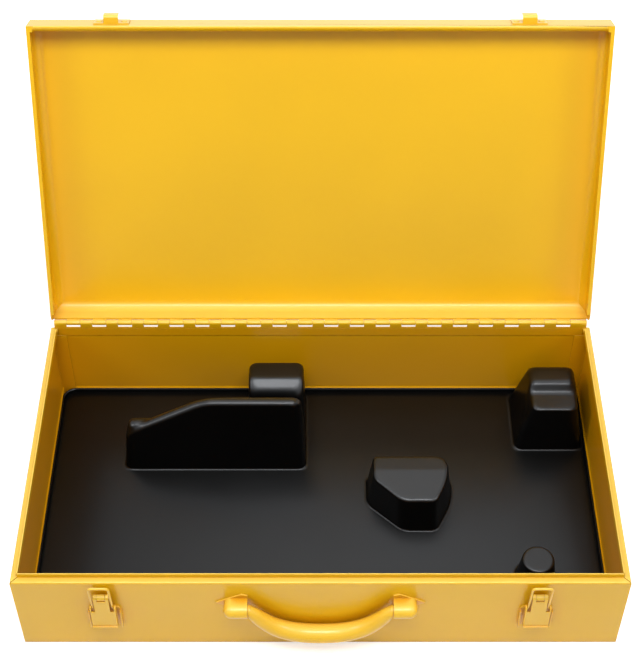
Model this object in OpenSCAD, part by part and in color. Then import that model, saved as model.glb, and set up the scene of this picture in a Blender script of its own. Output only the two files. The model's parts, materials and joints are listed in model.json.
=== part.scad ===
// Sheet steel carrying case, open, with a continuous hinge, two draw latches,
// a fold-down bow handle and a formed plastic tray.
// Origin: middle of the base's underside. X runs across the front, Y to the
// hinge at the back, Z up. The lid is drawn closed and then swung open.

/* [Case] */
// Width of the base, across the front
case_w = 520; // [470:1:620]
// Depth of the base, from front wall to rear wall
case_d = 290; // [262:1:360]
// Height of the base up to its ledge
base_h = 95; // [93:1:140]
// Thickness of the steel sheet
sheet_t = 1; // [0.8:0.1:1.3]
// Outer radius of the bends along the bottom edges
floor_bend_r = 2; // [1.6:0.1:3]

/* [Rim of the base] */
// Width of the ledge that the lid sits on
ledge_w = 5.6; // [5.2:0.1:9]
// Height of the upright lip above the ledge
lip_h = 5; // [3:0.5:8]
// Outer radius of the bend between wall and ledge
ledge_bend_r = 1.5; // [1.4:0.1:2.5]
// Width of the open mitre in the ledge at the front corners
mitre_gap = 0.6; // [0.3:0.1:1]
// Width of the side walls' welding tabs on the rear wall
tab_w = 13; // [8:1:20]
// Length of the side lips that is left off beside the hinge
lip_end_gap = 7; // [5:1:12]

/* [Lid] */
// Depth of the lid, from rim to panel
lid_depth = 32; // [30:1:50]
// Outer radius of the bends round the lid's panel
lid_bend_r = 10; // [4:1:12]
// How far the lid's side walls stand in from the base's
lid_side_inset = 2; // [1:0.1:3]
// Clearance between the base's lip and the lid's turned-in flange
flange_gap = 0.3; // [0.3:0.1:0.8]
// Gap between the closed lid's rim and the ledge
rim_gap = 0.3; // [0.3:0.1:0.6]
// Radius of the lid's lower rear corners
corner_r = 8.4; // [6:0.2:9]
// Angle that the lid swings open, from closed
lid_open = 111.4; // [90:0.1:115]

/* [Continuous hinge] */
// Distance from one lid knuckle to the next
knuckle_pitch = 24.8; // [20:0.1:32]
// Width of a lid knuckle
lid_knuckle_w = 12.9; // [9:0.1:14]
// How far the row of knuckles is shifted to the right
knuckle_shift = -2; // [-5:0.1:5]
// Gap between neighbouring knuckles, along the pin
knuckle_gap = 0.25; // [0.2:0.05:0.5]
// Hinge left off at each end of the case
hinge_end_gap = 4; // [3:0.5:12]
// Radius of the hinge pin
hinge_pin_r = 1.6; // [1.2:0.1:2]
// Wall of the rolled knuckles
knuckle_wall = 0.86; // [0.82:0.02:1]
// Thickness of the hinge leaves
leaf_t = 0.8; // [0.6:0.02:0.8]
// Height of the base leaf on the rear wall
base_leaf_h = 9.5; // [8:0.5:20]
// Height of the lid leaf above the pin's axis
lid_leaf_h = 13; // [8:0.5:14]
// Height of the pin's axis above the ledge
hinge_rise = 6.2; // [5.8:0.1:7.5]
// Height of the slots left open under the lid's knuckles
slot_h = 1.4; // [0.5:0.1:2.5]
// Gap between a barrel and the edge that swings round it
barrel_gap = 0.4; // [0.3:0.1:0.8]

/* [Latches] */
// Distance from each side of the case to the middle of its latch
latch_inset = 76; // [60:1:110]
// Thickness of the latch plates and levers
latch_t = 1.2; // [1:0.1:1.4]
// Width of the latch's base plate
plate_w = 28; // [26:1:34]
// Height of the base plate's wide part
plate_h = 28; // [24:1:34]
// Radius of the base plate's upper corners
plate_corner_r = 4; // [2:0.5:6]
// Depth of the base plate's folded cheeks, from the wall
cheek_d = 4.5; // [3:0.5:5]
// Drop from the ledge to the foot of the base plate
plate_drop = 62; // [60:1:70]
// Drop from the ledge to the lever's pivot
pivot_drop = 11; // [10:0.5:14]
// Distance of the lever's pivot from the front wall
pivot_out = 7; // [6.5:0.1:8]
// Radius of the lever's pivot pin
latch_pin_r = 1.4; // [1.2:0.1:1.6]
// Width of the lever's rolled top
neck_w = 13; // [11:0.5:13]
// Width of the base plate's own knuckle
plate_knuckle_w = 6.6; // [4:0.2:7]
// Drop from the ledge to the lever's foot
lever_drop = 53.5; // [48:0.5:58]
// Depth of the lever's folded flanges
lever_flange_d = 4.8; // [4.6:0.1:5.2]
// Distance from the lever's pivot down to the loop's pivot
loop_pivot_drop = 15.3; // [13:0.1:16]
// Depth of the lever's notches below the loop's pivot
notch_d = 3.2; // [3:0.1:4]
// Radius of the loop's wire
wire_r = 1.1; // [0.9:0.05:1.2]
// Clear width inside the loop
loop_w = 14.2; // [14:0.1:16]
// Inner radius of the loop's upper corners
loop_bend_r = 1.5; // [1:0.1:3]
// Angle that the free loop leans out from upright
loop_lean = 7; // [5:0.5:9]
// Distance of the closed loop's bar from the front wall
bar_out = 4.2; // [3.5:0.1:5]
// Radius of the rivets
rivet_r = 1.6; // [1.2:0.1:2]
// Radius of the rivets' heads
rivet_head_r = 2.8; // [2.2:0.1:3.2]
// Height of the rivets' heads
rivet_head_h = 1; // [0.6:0.1:1.5]
// Distance between the rivets of a latch plate
plate_rivets = 14; // [10:1:18]

/* [Strikes] */
// Width of a strike's plate
strike_w = 31; // [28:1:40]
// Height of a strike's plate
strike_h = 14; // [12:0.5:15]
// Height of the strike's lower edge above the lid's rim
strike_rise = 6; // [4:0.5:6]
// Width of the hook
hook_w = 13; // [10:0.5:13.4]
// Clear depth of the hook's crook
crook_d = 6; // [5:0.5:7]
// Height of the hook's lip
hook_h = 8.5; // [7:0.5:9.5]
// Outer radius of the hook's bend
hook_bend_r = 3; // [2:0.1:4]
// Distance between the rivets of a strike
strike_rivets_w = 22; // [20:1:30]

/* [Handle] */
// Length of the grip, between the brackets
grip_len = 122.6; // [105:0.1:150]
// Radius of the grip in the middle
grip_r = 8.5; // [7:0.1:9]
// Radius of the grip at its ends
grip_end_r = 5.4; // [4.8:0.1:6]
// Drop from the pins' axis to the middle of the grip
grip_drop = 36.5; // [30:0.5:40]
// Radius of the pin at each end of the grip
grip_pin_r = 4.4; // [3.5:0.1:4.6]
// Length of the pin at each end of the grip
grip_pin_l = 12; // [8:1:14]
// Drop from the ledge to the pins' axis
handle_drop = 28; // [26:1:32]
// Gap between the hanging grip and the front wall
grip_wall_gap = 0.5; // [0.4:0.1:1.5]
// Gap between the grip's ends and the brackets
grip_end_gap = 0.5; // [0.3:0.1:1]
// Outer radius of the brackets' drums
drum_r = 6.8; // [6:0.1:7.5]
// Length of the brackets' drums
drum_l = 20.2; // [18:0.2:26]
// Thickness of the brackets' flanges
bracket_t = 1.2; // [1:0.1:2]
// Length of the brackets' flanges
bracket_l = 27.5; // [24:0.5:34]
// Greatest height of the brackets' flanges
bracket_h = 24; // [20:1:28]

/* [Tray] */
// Thickness of the tray's plastic sheet
tray_t = 2; // [1.5:0.1:2.5]
// Gap between the tray and the walls
tray_gap = 1.2; // [1.1:0.1:2.5]
// Radius of the tray's corners
tray_corner_r = 12; // [6:1:20]
// Radius of the humps' upper edges
crown_r = 5; // [4:0.5:6]
// Radius along the top of the long ridge
ridge_crown_r = 3.2; // [3:0.1:5]
// Radius of the humps' upright corners at the foot
foot_r = 7; // [6:0.5:9]
// Length of the long ridge at its foot
ridge_l = 177; // [150:1:185]
// Depth of the long ridge at its foot
ridge_d = 51; // [40:1:60]
// Height of the long ridge
ridge_h = 90; // [70:1:92]
// Drop of the long ridge at its left end
ridge_fall = 24; // [5:1:30]
// Length of the block behind the ridge
block_w = 57; // [45:1:70]
// Depth of the block behind the ridge
block_d = 57; // [45:1:60]
// Height of the block behind the ridge
block_h = 64; // [50:1:80]
// Width of the stepped corner block
corner_w = 63; // [50:1:66]
// Depth of the stepped corner block
corner_d = 66; // [56:1:80]
// Height of the corner block's lower step
corner_low_h = 57; // [45:1:60]
// Height of the corner block's upper step
corner_high_h = 73; // [70:1:88]
// Width of the many-sided hump
wedge_w = 82; // [70:1:90]
// Depth of the many-sided hump
wedge_d = 63; // [55:1:70]
// Height of the many-sided hump
wedge_h = 46; // [35:1:60]
// Radius of the small round hump's foot
stud_foot_r = 18.9; // [16:0.1:24]
// Radius of the small round hump's top
stud_top_r = 14.3; // [10:0.1:15]
// Height of the small round hump
stud_h = 32; // [25:0.5:45]

/* [Hidden] */
$fn = 64;

yellow = [0.95, 0.73, 0.20];
black = [0.13, 0.13, 0.14];

// Overlap that joins two shapes of one piece, and overshoot of a cut
join = 0.2;
over = 1;
// Radial clearance of a pin in its bore, and of a rivet in its hole
pin_fit = 0.04;
rivet_fit = 0.05;
// How far a flat side is sunk into the round it runs on to
tuck = 0.02;

front_y = -case_d / 2;
back_y = case_d / 2;
side_x = case_w / 2;
lip_x = side_x - ledge_w;
lip_y = front_y + ledge_w;

// Hinge: the base leaf lies on the rear wall's inner face and rolls outwards
knuckle_bore = hinge_pin_r + pin_fit;
knuckle_r = knuckle_bore + knuckle_wall;
leaf_y = back_y - sheet_t - leaf_t;
hinge_y = leaf_y + knuckle_r - tuck;
hinge_z = base_h + hinge_rise;
hinge_len = case_w - 2 * hinge_end_gap;
hinge_count = floor((hinge_len - knuckle_pitch / 2) / knuckle_pitch);
swing_r = knuckle_r + barrel_gap;
leaf_low_w = 2 * (lip_x - sheet_t - rim_gap);

// Closed lid
lid_w = case_w - 2 * lid_side_inset;
lid_front_y = front_y;
lid_back_y = leaf_y;
rim_z = base_h + rim_gap;
lid_top_z = rim_z + lid_depth;

// Latch, in its own frame: y = 0 on the front wall, z as in the case
latch_x = side_x - latch_inset;
pivot_z = base_h - pivot_drop;
latch_bore = latch_pin_r + pin_fit;
latch_knuckle_r = latch_bore + latch_t + 2 * tuck;
lever_front = pivot_out + latch_knuckle_r - tuck;
lever_back = lever_front - latch_t;
latch_swing_r = latch_knuckle_r + barrel_gap;
side_play = 0.25;
arm_x = loop_w / 2 + wire_r;
flange_in = arm_x + wire_r + side_play;
lever_w = 2 * (flange_in + latch_t);
loop_z = pivot_z - loop_pivot_drop;
notch_z = loop_z - notch_d;
lever_z = base_h - lever_drop;
stop_play = 0.3;
loop_out = lever_back - stop_play - wire_r;
ear_r = lever_front - loop_out;
hook_floor_z = rim_z + strike_rise + latch_t;
closed_bar_z = hook_floor_z + wire_r + stop_play;
loop_len = norm([loop_out - bar_out, closed_bar_z - loop_z]);
plate_z = base_h - plate_drop;
plate_top_z = plate_z + plate_h;
plate_rivet_z = plate_z + plate_h / 2 - plate_rivets / 2;
strike_mid_z = rim_z + strike_rise + strike_h / 2;

// Handle
handle_z = base_h - handle_drop;
handle_out = grip_r + grip_wall_gap;
grip_end_x = grip_len / 2;
drum_x = grip_end_x + grip_end_gap;
drum_end_x = drum_x + drum_l - drum_r;

// Tray: outline and floor
tray_w = case_w - 2 * (sheet_t + tray_gap);
tray_d = case_d - 2 * (sheet_t + tray_gap);
tray_z = sheet_t;
tray_top = tray_z + tray_t;

// Humps: margins between their feet and the tray's edges, how far the block
// stands to the right of and behind the ridge's front left corner, and places
// of the feet's front left corners and of the stud's middle
ridge_margin = 67.8;
block_margin = 5.8;
corner_margin = [4.8, 9.8];
stud_margin = [62.3, 63.8];
block_step = [119, 38];
ridge_x = ridge_margin - tray_w / 2;
block_x = ridge_x + block_step[0];
block_y = tray_d / 2 - block_margin - block_d;
ridge_y = block_y - block_step[1];
corner_x = tray_w / 2 - corner_margin[0] - corner_w;
corner_y = tray_d / 2 - corner_margin[1] - corner_d;
wedge_x = 44;
wedge_y = -29.9;
stud_x = tray_w / 2 - stud_margin[0];
stud_y = stud_margin[1] - tray_d / 2;

// Left ends of the lid's knuckles, and both ends of the base's between them
function lid_knuckle_x(i) =
    (i - (hinge_count - 1) / 2) * knuckle_pitch + knuckle_shift - lid_knuckle_w / 2;
function base_knuckle_start(i) =
    i == 0 ? -hinge_len / 2 : lid_knuckle_x(i - 1) + lid_knuckle_w + knuckle_gap;
function base_knuckle_end(i) =
    i == hinge_count ? hinge_len / 2 : lid_knuckle_x(i) - knuckle_gap;

// What lies outside a quarter circle of radius r in a corner at the origin
module corner_bit(r) {
    difference() {
        translate([-over, -over]) square(r + over);
        translate([r, r]) circle(r);
    }
}

// Rectangle from a to b with its lower and upper corners rounded; the corners
// on the right may have an upper radius of their own
module section(a, b, low_r, top_r, right_top_r) {
    difference() {
        translate(a) square(b - a);
        if (low_r > 0) {
            translate(a) corner_bit(low_r);
            translate([b[0], a[1]]) mirror([1, 0]) corner_bit(low_r);
        }
        if (top_r > 0)
            translate([a[0], b[1]]) mirror([0, 1]) corner_bit(top_r);
        if (right_top_r > 0)
            translate(b) rotate(180) corner_bit(right_top_r);
    }
}

// Stands a drawing up across the case (its x runs along Y) or along the front
module along_x(length) {
    rotate([90, 0, 90]) linear_extrude(length, center = true) children();
}
module along_y(length) {
    rotate([90, 0, 0]) linear_extrude(length, center = true) children();
}

// Cylinder lying along X, starting at x
module rod_x(r, x, length) {
    translate([x, 0, 0]) rotate([0, 90, 0]) cylinder(r = r, h = length);
}

// Cylinder lying along Y, reaching from y inwards
module rod_y(r, y, length) {
    translate([0, y, 0]) rotate([-90, 0, 0]) cylinder(r = r, h = length);
}

// Box between two corners
module block(a, b) {
    translate(a) cube(b - a);
}

// Places a latch part on the left (side = -1) or the right of the front
module at_latch(side) {
    translate([side * latch_x, front_y, 0]) children();
}

// Swings the closed lid's parts open about the hinge pin
module swung_open() {
    translate([0, hinge_y, hinge_z]) rotate([-lid_open, 0, 0])
        translate([0, -hinge_y, -hinge_z]) children();
}

// Solid form of the base, drawn in by inset on every side
module base_form(inset) {
    top_r = ledge_bend_r - inset;
    intersection() {
        along_x(case_w)
            section([front_y + inset, inset], [back_y - inset, base_h - inset],
                floor_bend_r - inset, top_r, 0);
        along_y(case_d)
            section([inset - side_x, inset], [side_x - inset, base_h - inset],
                floor_bend_r - inset, top_r, top_r);
    }
}

module base_shell() color(yellow) {
    difference() {
        union() {
            base_form(0);
            block([-lip_x, lip_y, base_h - sheet_t], [lip_x, back_y - lip_end_gap, base_h + lip_h]);
        }
        base_form(sheet_t);
        block([sheet_t - lip_x, lip_y + sheet_t, base_h - sheet_t - join],
            [lip_x - sheet_t, back_y - sheet_t, base_h + lip_h + over]);
        for (side = [-1, 1]) {
            mitre_len = 3 * ledge_w;
            translate([side * side_x, front_y, base_h - sheet_t - join])
                rotate([0, 0, 90 + side * 45])
                    translate([-over, -mitre_gap / 2, 0])
                        cube([mitre_len, mitre_gap, sheet_t + lip_h + over]);
            at_latch(side)
                for (i = [0, 1])
                    translate([0, 0, plate_rivet_z + i * plate_rivets])
                        rod_y(rivet_r + rivet_fit, -over, sheet_t + 2 * over);
        }
    }
    for (side = [-1, 1])
        translate([side * (side_x - sheet_t - tab_w / 2), back_y - 1.5 * sheet_t, base_h / 2])
            block([-tab_w / 2, -sheet_t / 2, floor_bend_r - base_h / 2],
                [tab_w / 2, sheet_t / 2, base_h / 2 - base_leaf_h - rim_gap]);
}

// Row of solid knuckles on the pin's axis, from each start to its end
module knuckle_row(starts, ends) {
    for (i = [0:len(starts) - 1])
        translate([0, hinge_y, hinge_z])
            rod_x(knuckle_r, starts[i], ends[i] - starts[i]);
}

module pin_bore() {
    translate([0, hinge_y, hinge_z])
        rod_x(knuckle_bore, -hinge_len / 2 - over, hinge_len + 2 * over);
}

module hinge_base_leaf() color(yellow) {
    lid_x = [for (i = [0:hinge_count - 1]) lid_knuckle_x(i)];
    step_z = base_h + rim_gap;
    difference() {
        union() {
            block([-leaf_low_w / 2, leaf_y, base_h - base_leaf_h],
                [leaf_low_w / 2, leaf_y + leaf_t, step_z + join]);
            block([-hinge_len / 2, leaf_y, step_z], [hinge_len / 2, leaf_y + leaf_t, hinge_z]);
            knuckle_row([for (i = [0:hinge_count]) base_knuckle_start(i)],
                [for (i = [0:hinge_count]) base_knuckle_end(i)]);
        }
        for (x = lid_x)
            block([x - knuckle_gap, leaf_y - over, hinge_z - knuckle_r - slot_h],
                [x + lid_knuckle_w + knuckle_gap, leaf_y + leaf_t + over, hinge_z + over]);
        pin_bore();
    }
}

module hinge_lid_leaf() color(yellow) swung_open() {
    difference() {
        union() {
            block([-hinge_len / 2, leaf_y, hinge_z],
                [hinge_len / 2, leaf_y + leaf_t, hinge_z + lid_leaf_h]);
            knuckle_row([for (i = [0:hinge_count - 1]) lid_knuckle_x(i)],
                [for (i = [0:hinge_count - 1]) lid_knuckle_x(i) + lid_knuckle_w]);
        }
        for (i = [0:hinge_count])
            block([base_knuckle_start(i) - knuckle_gap, leaf_y - over, hinge_z - over],
                [base_knuckle_end(i) + knuckle_gap, leaf_y + leaf_t + over, hinge_z + swing_r]);
        pin_bore();
    }
}

module hinge_pin() color(yellow) {
    translate([0, hinge_y, hinge_z])
        rod_x(hinge_pin_r, join - hinge_len / 2, hinge_len - 2 * join);
}

// Solid form of the closed lid, drawn in by inset on every side
module lid_form(inset) {
    bend_r = lid_bend_r - inset;
    intersection() {
        along_x(case_w)
            section([lid_front_y + inset, rim_z + inset], [lid_back_y - inset, lid_top_z - inset],
                0, bend_r, bend_r);
        along_y(case_d + 2 * over)
            section([inset - lid_w / 2, rim_z + inset], [lid_w / 2 - inset, lid_top_z - inset],
                0, bend_r, bend_r);
    }
}

module lid_shell() color(yellow) swung_open() {
    flange_x = lip_x + flange_gap;
    flange_y = lip_y - flange_gap;
    corner_y = lid_back_y - corner_r;
    difference() {
        lid_form(0);
        lid_form(sheet_t);
        block([-flange_x, flange_y, rim_z - over],
            [flange_x, lid_back_y - sheet_t, rim_z + sheet_t + join]);
        block([sheet_t - lid_w / 2, corner_y, rim_z - over],
            [lid_w / 2 - sheet_t, lid_back_y + over, hinge_z + swing_r]);
        along_x(case_w)
            translate([lid_back_y, rim_z]) mirror([1, 0]) corner_bit(corner_r);
        for (side = [-1, 1], end = [-1, 1])
            translate([side * latch_x + end * strike_rivets_w / 2, front_y, strike_mid_z])
                rod_y(rivet_r + rivet_fit, -over, sheet_t + 2 * over);
    }
}

// Rivet through a plate of thickness t on a wall whose outer face is y = 0
module rivet(t) {
    rod_y(rivet_r, -t - join, t + sheet_t + 2 * join);
    rod_y(rivet_head_r, -t - rivet_head_h, rivet_head_h);
    rod_y(rivet_head_r, sheet_t, rivet_head_h);
}

// Strike: riveted plate whose lower middle is bent out and up into a hook
module strike(side) {
    low_z = rim_z + strike_rise;
    hook_y = -2 * latch_t - crook_d;
    swung_open() at_latch(side) color(yellow) {
        difference() {
            block([-strike_w / 2, -latch_t, low_z], [strike_w / 2, 0, low_z + strike_h]);
            for (end = [-1, 1])
                translate([end * strike_rivets_w / 2, 0, strike_mid_z])
                    rod_y(rivet_r + rivet_fit, -latch_t - over, latch_t + 2 * over);
        }
        along_x(hook_w)
            difference() {
                translate([hook_y, low_z]) square([-hook_y - latch_t + join, hook_h]);
                translate([hook_y, low_z]) corner_bit(hook_bend_r);
                difference() {
                    translate([hook_y + latch_t, low_z + latch_t]) square([crook_d + latch_t, hook_h]);
                    translate([hook_y + latch_t, low_z + latch_t]) corner_bit(hook_bend_r - latch_t);
                }
            }
    }
}

module strike_left() strike(-1);
module strike_right() strike(1);

module strike_rivets() color(yellow) swung_open() {
    for (side = [-1, 1], end = [-1, 1])
        at_latch(side)
            translate([end * strike_rivets_w / 2, 0, strike_mid_z]) rivet(latch_t);
}

// Latch plate: riveted channel whose neck is cranked out to the lever's pin
module latch_plate(side) {
    neck_drop = 6;
    bend_h = 4;
    neck_z = pivot_z - latch_swing_r - neck_drop;
    neck_end_z = pivot_z - latch_knuckle_r - over;
    neck_back = pivot_out - latch_knuckle_r + tuck;
    neck_front = neck_back + latch_t;
    rise = latch_knuckle_r + bend_h;
    at_latch(side) color(yellow) difference() {
        union() {
            translate([0, 0, plate_z])
                rotate([90, 0, 0]) linear_extrude(latch_t)
                    section([-plate_w / 2, 0], [plate_w / 2, plate_h], 0,
                        plate_corner_r, plate_corner_r);
            for (end = [-1, 1])
                translate([end * (plate_w - latch_t) / 2, 0, plate_z])
                    block([-latch_t / 2, -cheek_d, 0],
                        [latch_t / 2, 0, plate_h - plate_corner_r]);
            intersection() {
                along_x(neck_w)
                    polygon([[0, plate_top_z - join], [0, neck_z],
                        [-neck_back, neck_z + rise], [-neck_back, pivot_z],
                        [-neck_front, pivot_z], [-neck_front, neck_z + rise],
                        [-latch_t, neck_z], [-latch_t, plate_top_z - join]]);
                union() {
                    block([-neck_w / 2, -pivot_out, plate_z], [neck_w / 2, 0, neck_end_z]);
                    block([-plate_knuckle_w / 2, -pivot_out, plate_z],
                        [plate_knuckle_w / 2, 0, pivot_z]);
                }
            }
            translate([0, -pivot_out, pivot_z])
                rod_x(latch_knuckle_r, -plate_knuckle_w / 2, plate_knuckle_w);
        }
        translate([0, -pivot_out, pivot_z]) rod_x(latch_bore, -neck_w, 2 * neck_w);
        for (i = [0, 1])
            translate([0, 0, plate_rivet_z + i * plate_rivets])
                rod_y(rivet_r + rivet_fit, -latch_t - over, latch_t + 2 * over);
    }
}

module latch_plate_left() latch_plate(-1);
module latch_plate_right() latch_plate(1);

module latch_pin(side) {
    at_latch(side) translate([0, -pivot_out, pivot_z]) color(yellow)
        rod_x(latch_pin_r, -neck_w / 2, neck_w);
}

module latch_pin_left() latch_pin(-1);
module latch_pin_right() latch_pin(1);

module latch_rivets(side) {
    at_latch(side) color(yellow)
        for (i = [0, 1])
            translate([0, 0, plate_rivet_z + i * plate_rivets]) rivet(latch_t);
}

module latch_rivets_left() latch_rivets(-1);
module latch_rivets_right() latch_rivets(1);

// Latch lever: rolled round its pin at the top, with flanges that end in round
// ears for the loop, and a notch on each side of the neck that clears its arms
module latch_lever(side) {
    knuckle_in = plate_knuckle_w / 2 + side_play;
    at_latch(side) color(yellow) difference() {
        union() {
            for (end = [-1, 1])
                translate([0, -pivot_out, pivot_z])
                    rod_x(latch_knuckle_r, end > 0 ? knuckle_in : -neck_w / 2,
                        neck_w / 2 - knuckle_in);
            difference() {
                block([-neck_w / 2, -lever_front, notch_z - join],
                    [neck_w / 2, -lever_back, pivot_z]);
                block([-knuckle_in, -lever_front - over, pivot_z - latch_swing_r],
                    [knuckle_in, -lever_back + over, pivot_z + over]);
            }
            block([-lever_w / 2, -lever_front, lever_z], [lever_w / 2, -lever_back, notch_z]);
            for (end = [-1, 1])
                translate([end * (lever_w - latch_t) / 2, 0, 0]) {
                    block([-latch_t / 2, -lever_front, lever_z],
                        [latch_t / 2, lever_flange_d - lever_front, loop_z]);
                    translate([0, -loop_out, loop_z]) rod_x(ear_r, -latch_t / 2, latch_t);
                }
            translate([0, -lever_front, lever_z + latch_t])
                rod_x(latch_t, -lever_w / 2, lever_w);
        }
        translate([0, -pivot_out, pivot_z]) rod_x(latch_bore, -neck_w, 2 * neck_w);
        translate([0, -loop_out, loop_z]) rod_x(wire_r + pin_fit, -lever_w, 2 * lever_w);
    }
}

module latch_lever_left() latch_lever(-1);
module latch_lever_right() latch_lever(1);

// Latch loop: bent wire whose feet turn outwards through the lever's flanges
module latch_loop(side) {
    bend = loop_bend_r + wire_r;
    at_latch(side) translate([0, -loop_out, loop_z]) rotate([loop_lean, 0, 0]) color(yellow) {
        for (end = [-1, 1]) {
            rod_x(wire_r, end > 0 ? arm_x : -lever_w / 2, lever_w / 2 - arm_x);
            translate([end * arm_x, 0, 0]) {
                sphere(wire_r);
                cylinder(r = wire_r, h = loop_len - bend);
            }
            translate([end * (arm_x - bend), 0, loop_len - bend])
                rotate([90, 0, end > 0 ? 0 : 180])
                    rotate_extrude(angle = 90) translate([bend, 0]) circle(wire_r);
        }
        translate([0, 0, loop_len]) rod_x(wire_r, bend - arm_x, 2 * (arm_x - bend));
    }
}

module latch_loop_left() latch_loop(-1);
module latch_loop_right() latch_loop(1);

// Handle bracket: drum with a domed end on a pointed flange
module handle_bracket(side) {
    flange_x = drum_x - join;
    peak_x = flange_x + bracket_l / 5;
    end_h = 0.88 * bracket_h;
    translate([0, front_y, handle_z]) mirror([side < 0 ? 1 : 0, 0, 0]) color(yellow)
        difference() {
            union() {
                rotate([90, 0, 0]) linear_extrude(bracket_t)
                    polygon([[flange_x, -end_h / 2], [peak_x, -bracket_h / 2],
                        [flange_x + bracket_l, 0], [peak_x, bracket_h / 2],
                        [flange_x, end_h / 2]]);
                translate([0, -handle_out, 0]) {
                    rod_x(drum_r, drum_x, drum_end_x - drum_x);
                    translate([drum_end_x, 0, 0]) sphere(drum_r);
                }
                block([drum_x, -handle_out, -drum_r], [drum_end_x, -bracket_t / 2, drum_r]);
                translate([drum_end_x, 0, 0])
                    rod_y(drum_r, -handle_out, handle_out - bracket_t / 2);
            }
            translate([0, -handle_out, 0])
                rod_x(grip_pin_r + pin_fit, drum_x - over, grip_pin_l + over);
        }
}

module handle_bracket_left() handle_bracket(-1);
module handle_bracket_right() handle_bracket(1);

// Grip: centre line from its left end (s = 0) to its right end (s = 1), with
// rings that stand upright at the ends and square to the line elsewhere. Each
// half leaves its end towards bow_rise (parts of half the length and of the
// drop) and comes in level from bow_middle; the rings turn square over turn_in.
bow_rise = [0.78, 0.42];
bow_middle = 0.65;
turn_in = 0.2;
function curve(a, b, c, d, t) =
    a * pow(1 - t, 3) + 3 * b * t * pow(1 - t, 2) + 3 * c * t * t * (1 - t) + d * pow(t, 3);
function grip_path(t) = [
    curve(grip_end_x, bow_rise[0] * grip_end_x, bow_middle * grip_end_x, 0, t),
    -curve(0, bow_rise[1] * grip_drop, grip_drop, grip_drop, t)
];
function grip_tilt(t) =
    let (step = 0.002, a = grip_path(max(t - step, 0)), b = grip_path(min(t + step, 1)))
    atan2(a[1] - b[1], a[0] - b[0]) * min(1, t / turn_in);
function grip_ring(s, n) =
    let (side = s < 0.5 ? -1 : 1, t = 1 - abs(2 * s - 1), p = grip_path(t),
        r = grip_end_r + (grip_r - grip_end_r) * sin(90 * t), tilt = grip_tilt(t))
    [for (i = [0:n - 1])
        let (u = r * cos(360 * i / n), v = r * sin(360 * i / n))
        [side * (p[0] - u * sin(tilt)), v, p[1] + u * cos(tilt)]];

module handle_grip() color(yellow) {
    rings = 48;
    n = 40;
    points = [for (k = [0:rings]) each grip_ring(k / rings, n)];
    skin = [for (k = [0:rings - 1], i = [0:n - 1])
        [k * n + i, k * n + (i + 1) % n, (k + 1) * n + (i + 1) % n, (k + 1) * n + i]];
    left_end = [for (i = [0:n - 1]) n - 1 - i];
    right_end = [for (i = [0:n - 1]) rings * n + i];
    translate([0, front_y - handle_out, handle_z]) {
        polyhedron(points, concat(skin, [left_end, right_end]));
        for (side = [-1, 1])
            rod_x(grip_pin_r, side > 0 ? grip_end_x - 2 * over : -grip_end_x - grip_pin_l,
                grip_pin_l + 2 * over);
    }
}

// Hump of the tray: skin over rounded feet [x, y] on the floor and crowns
// [x, y, height], drawn in by inset for the hollow below it
module hump_form(feet, foot, crowns, crown, inset) {
    hull() {
        for (p = feet)
            translate([p[0], p[1], inset > 0 ? tray_z : tray_top])
                cylinder(r = foot - inset, h = over, $fn = 32);
        for (p = crowns)
            translate([p[0], p[1], tray_z + p[2] - crown]) sphere(crown - inset, $fn = 24);
    }
}

// Centres of corner rounds of radius r in a rectangle at a of size b
function corners(a, b, r) = [
    for (x = [a[0] + r, a[0] + b[0] - r], y = [a[1] + r, a[1] + b[1] - r]) [x, y]
];
// The same points at height h
function raised(points, h) = [for (p = points) [p[0], p[1], h]];

// Ridge: its crown falls to the left, from the bend on, ends in a shoulder
// and stands near the front; all as parts of the foot's length and depth
module ridge_form(inset) {
    crown_shoulder = 0.05;
    crown_left = 0.085;
    crown_bend = 0.45;
    crown_right = 0.94;
    line_y = ridge_y + 0.3 * ridge_d;
    shoulder_h = 0.6 * ridge_h;
    hump_form(corners([ridge_x, ridge_y], [ridge_l, ridge_d], foot_r), foot_r,
        [[ridge_x + crown_right * ridge_l, line_y, ridge_h],
            [ridge_x + crown_bend * ridge_l, line_y, ridge_h],
            [ridge_x + crown_left * ridge_l, line_y, ridge_h - ridge_fall],
            [ridge_x + crown_shoulder * ridge_l, line_y, min(shoulder_h, ridge_h - ridge_fall)]],
        ridge_crown_r, inset);
}

// Block: flat top at the back, with a ramp that falls to a lower front edge
module block_form(inset) {
    left_draft = 4;
    right_draft = 2;
    ramp_y = block_y + 0.26 * block_d;
    ramp_h = 0.8 * block_h;
    top_x = block_x + left_draft;
    top_y = block_y + 0.48 * block_d;
    top_w = block_w - left_draft - right_draft;
    top_d = 0.32 * block_d;
    hump_form(corners([block_x, block_y], [block_w, block_d], foot_r), foot_r,
        concat(
            raised(corners([top_x, top_y], [top_w, top_d], crown_r), block_h),
            raised(corners([top_x, ramp_y], [top_w, 2 * crown_r], crown_r), ramp_h)),
        crown_r, inset);
}

// Corner block: a low step in front of a wider high step
module corner_form(inset) {
    right_draft = 11;
    low_draft = 16;
    front_draft = 5;
    low_d = 0.36 * corner_d;
    high_draft = 9.5;
    high_foot_y = corner_y + 0.28 * corner_d;
    high_y = corner_y + 0.38 * corner_d;
    high_d = 0.27 * corner_d;
    hump_form(corners([corner_x, corner_y], [corner_w, corner_d], foot_r), foot_r,
        raised(corners([corner_x + low_draft, corner_y + front_draft],
            [corner_w - low_draft - right_draft, low_d], crown_r), corner_low_h),
        crown_r, inset);
    hump_form(corners([corner_x, high_foot_y], [corner_w, corner_y + corner_d - high_foot_y],
            foot_r), foot_r,
        raised(corners([corner_x + high_draft, high_y],
            [corner_w - high_draft - right_draft, high_d], crown_r), corner_high_h),
        crown_r, inset);
}

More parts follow.
